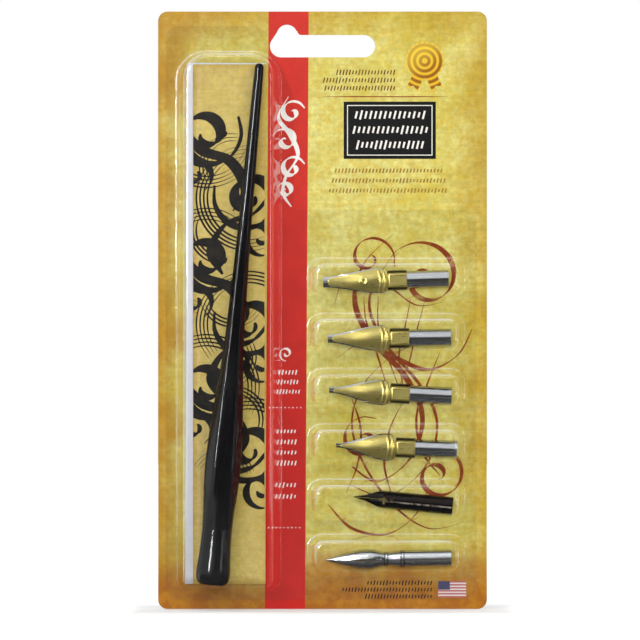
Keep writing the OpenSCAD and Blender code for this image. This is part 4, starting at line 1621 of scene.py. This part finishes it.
def reservoir_half_width(x, start, tip, belly):
    """Half width of a reservoir at a place along the nib, from those at its tip and its belly."""
    if x <= BELLY_X:
        half = tip + (belly - tip) * eased((x - start) / (BELLY_X - start))
        nose = min(1.0, (x - start) / (tip * 1.3))
        return half * math.sqrt(max(0.02, 1 - (1 - nose) ** 2))
    if x <= RIDGE_END:
        share = (x - BELLY_X) / (RIDGE_END - BELLY_X)
        return RIDGE_HALF_W + (belly - RIDGE_HALF_W) * math.sqrt(max(0.0, 1 - share ** 2))
    return NECK_HALF_W + (RIDGE_HALF_W - NECK_HALF_W) * max(0.0, 1 - (x - RIDGE_END) / 0.25)


def reservoir_depth(x, across, share, button_x):
    """Height of a reservoir's face: bent across, crowned over the belly, with two ridges."""
    level = math.sqrt(RESERVOIR_R ** 2 - across ** 2) - BEND_AXIS
    level += 0.55 * bell(x + 28.0, 5.0) * (1 - share * share)
    bowed = x + 0.9 * share * share
    level += 0.30 * bell(bowed - (RIDGE_START - 0.35), 0.26)
    level += 0.30 * bell(bowed - (RIDGE_END - 0.45), 0.26)
    level -= 0.16 * bell(bowed - (RIDGE_START + 0.62), 0.30)
    if button_x is not None:
        level += 0.30 * bell(math.hypot(x - button_x, across) - 1.0, 0.34)
    return level


def reservoir_sheet(name, finish):
    """Stamped brass reservoir of one broad nib. The first one has a round button stamped in it."""
    length, tip_w, belly_w = NIB_SIZES[name][:3]
    start = -length + RESERVOIR_BACK
    button_x = 13.9 - length if name == BROAD_NIBS[0] else None
    work = bmesh.new()
    columns = 150
    rows = 28
    grid = []
    for column in range(columns + 1):
        share = column / columns
        along = 0.55 * share + 0.45 * (1 - (1 - share) ** 2)
        x = start + 0.02 + (BAND_FROM + 0.6 - start) * along
        half = reservoir_half_width(x, start, tip_w / 2 - 0.25, belly_w / 2 - 0.25)
        line = []
        for row in range(rows + 1):
            side = math.sin(math.pi * (row / rows - 0.5))
            depth = reservoir_depth(x, half * side, side, button_x)
            line.append(work.verts.new((x, -depth, half * side)))
        grid.append(line)
    woven(work, grid)
    faced_front(work)
    bmesh.ops.transform(work, matrix=in_pocket(name), verts=work.verts)
    piece = show_bmesh(name + "_leaf", work, finish)
    walled(piece, BRASS_T * MM, -1.0)
    return piece


def band_plate():
    """Mesh of the square plate in front of a band, bevelled and a little hollow."""
    plate = bmesh.new()
    box_from(plate, (BAND_FROM + 0.15, -3.95, -2.2), (BAND_TO - 0.15, -2.9, 2.2))
    rims = [edge for edge in plate.edges if all(vert.co.y < -3.5 for vert in edge.verts)]
    bmesh.ops.bevel(plate, geom=rims, offset=0.55, segments=4, profile=0.6, affect="EDGES")
    for vert in plate.verts:
        if vert.co.y < -3.9:
            vert.co.y += 0.10 * (1 - (vert.co.z / 1.8) ** 2)
    mesh = bpy.data.meshes.new("plate")
    written(plate, mesh)
    return mesh


def band_sleeve(name, finish):
    """Brass band round a broad nib's shank, with its square plate in front and painted shade on its sides."""
    inner = SHANK_R + 0.03
    outer = inner + 0.29
    bevel = 0.10
    section = (
        (BAND_FROM + bevel, outer), (BAND_FROM, outer - bevel), (BAND_FROM, inner), (BAND_TO, inner),
        (BAND_TO, outer - bevel), (BAND_TO - bevel, outer),
    )
    work = bmesh.new()
    steps = 40
    loops = []
    for step in range(steps + 1):
        turn = math.radians(-92 + 184 * step / steps)
        loops.append([
            work.verts.new((x, -radius * math.cos(turn), radius * math.sin(turn))) for x, radius in section
        ])
    woven(work, loops, closed=True)
    work.faces.new(loops[0])
    work.faces.new(loops[-1])
    plate = band_plate()
    work.from_mesh(plate)
    bpy.data.meshes.remove(plate)
    bmesh.ops.recalc_face_normals(work, faces=work.faces)
    place = in_pocket(name)
    bmesh.ops.transform(work, matrix=place, verts=work.verts)
    piece = show_bmesh(name + "_sleeve", work, finish)
    piece.data.set_sharp_from_angle(angle=math.radians(40))
    back = place.inverted()
    # Painted shade on the flanks beyond the plate, which the brass darkens by
    flank_shades = [eased((abs((back @ vert.co).z) - 2.25) / 0.35) for vert in piece.data.vertices]
    piece.data.attributes.new("age", "FLOAT", "POINT").data.foreach_set("value", flank_shades)
    return piece


class CALLIGRAPHY_OT_nibs(bpy.types.Operator):
    """Gives the six nibs their steel, brass and bronze"""

    bl_idname = "calligraphy.nibs"
    bl_label = "Nibs"

    def execute(self, context):
        settings = context.scene.calligraphy_nibs
        steel = steel_finish("nib_steel_bright", settings.steel)
        brass = brass_finish("nib_brass_bright", settings.brass)
        for nib in BROAD_NIBS:
            dress(nib + "_blade", steel)
            dress(nib + "_underfeed", brass)
            settle(reservoir_sheet(nib, brass), nib, "nib_brass", nib + "_reservoir")
            settle(band_sleeve(nib, brass), nib, "nib_brass", nib + "_band")
        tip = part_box("bowl_nib")[0].x
        bowl = steel_finish("nib_steel_grey", settings.grey_steel, 0.10, [tip + ring for ring in BOWL_RINGS])
        settle(smooth_copy("bowl_nib_smooth", "bowl_nib", bowl), "bowl_nib", "nib_steel", "bowl_nib")
        pointed = smooth_copy("pointed_nib_smooth", "pointed_nib", bronze_finish(settings.bronze))
        settle(pointed, "pointed_nib", "dark_bronze", "pointed_nib")
        return {"FINISHED"}


# Add-on


class CALLIGRAPHY_PT_pieces(bpy.types.Panel):
    """Lists the set's pieces and their sizes"""

    bl_idname = "CALLIGRAPHY_PT_pieces"
    bl_label = "Calligraphy set"
    bl_space_type = "VIEW_3D"
    bl_region_type = "UI"
    bl_category = "Calligraphy set"

    def draw(self, context):
        for operator in OPERATORS:
            self.layout.operator(operator.bl_idname)
        for name, group in SETTINGS.items():
            box = self.layout.box()
            box.label(text=group.__name__)
            for key in group.__annotations__:
                box.prop(getattr(context.scene, name), key)


OPERATORS = (
    CALLIGRAPHY_OT_stage,
    CALLIGRAPHY_OT_card,
    CALLIGRAPHY_OT_leaflet,
    CALLIGRAPHY_OT_shell,
    CALLIGRAPHY_OT_holder,
    CALLIGRAPHY_OT_nibs,
)


def register():
    for group in SETTINGS.values():
        bpy.utils.register_class(group)
    for operator in OPERATORS:
        bpy.utils.register_class(operator)
    bpy.utils.register_class(CALLIGRAPHY_PT_pieces)
    for name, group in SETTINGS.items():
        setattr(bpy.types.Scene, name, PointerProperty(type=group))


def unregister():
    for name in SETTINGS:
        delattr(bpy.types.Scene, name)
    bpy.utils.unregister_class(CALLIGRAPHY_PT_pieces)
    for operator in reversed(OPERATORS):
        bpy.utils.unregister_class(operator)
    for group in reversed(list(SETTINGS.values())):
        bpy.utils.unregister_class(group)


def main():
    register()
    bpy.ops.calligraphy.stage()
    bpy.ops.calligraphy.card()
    bpy.ops.calligraphy.leaflet()
    bpy.ops.calligraphy.shell()
    bpy.ops.calligraphy.holder()
    bpy.ops.calligraphy.nibs()
    bpy.context.view_layer.update()


if __name__ == "__main__":
    main()
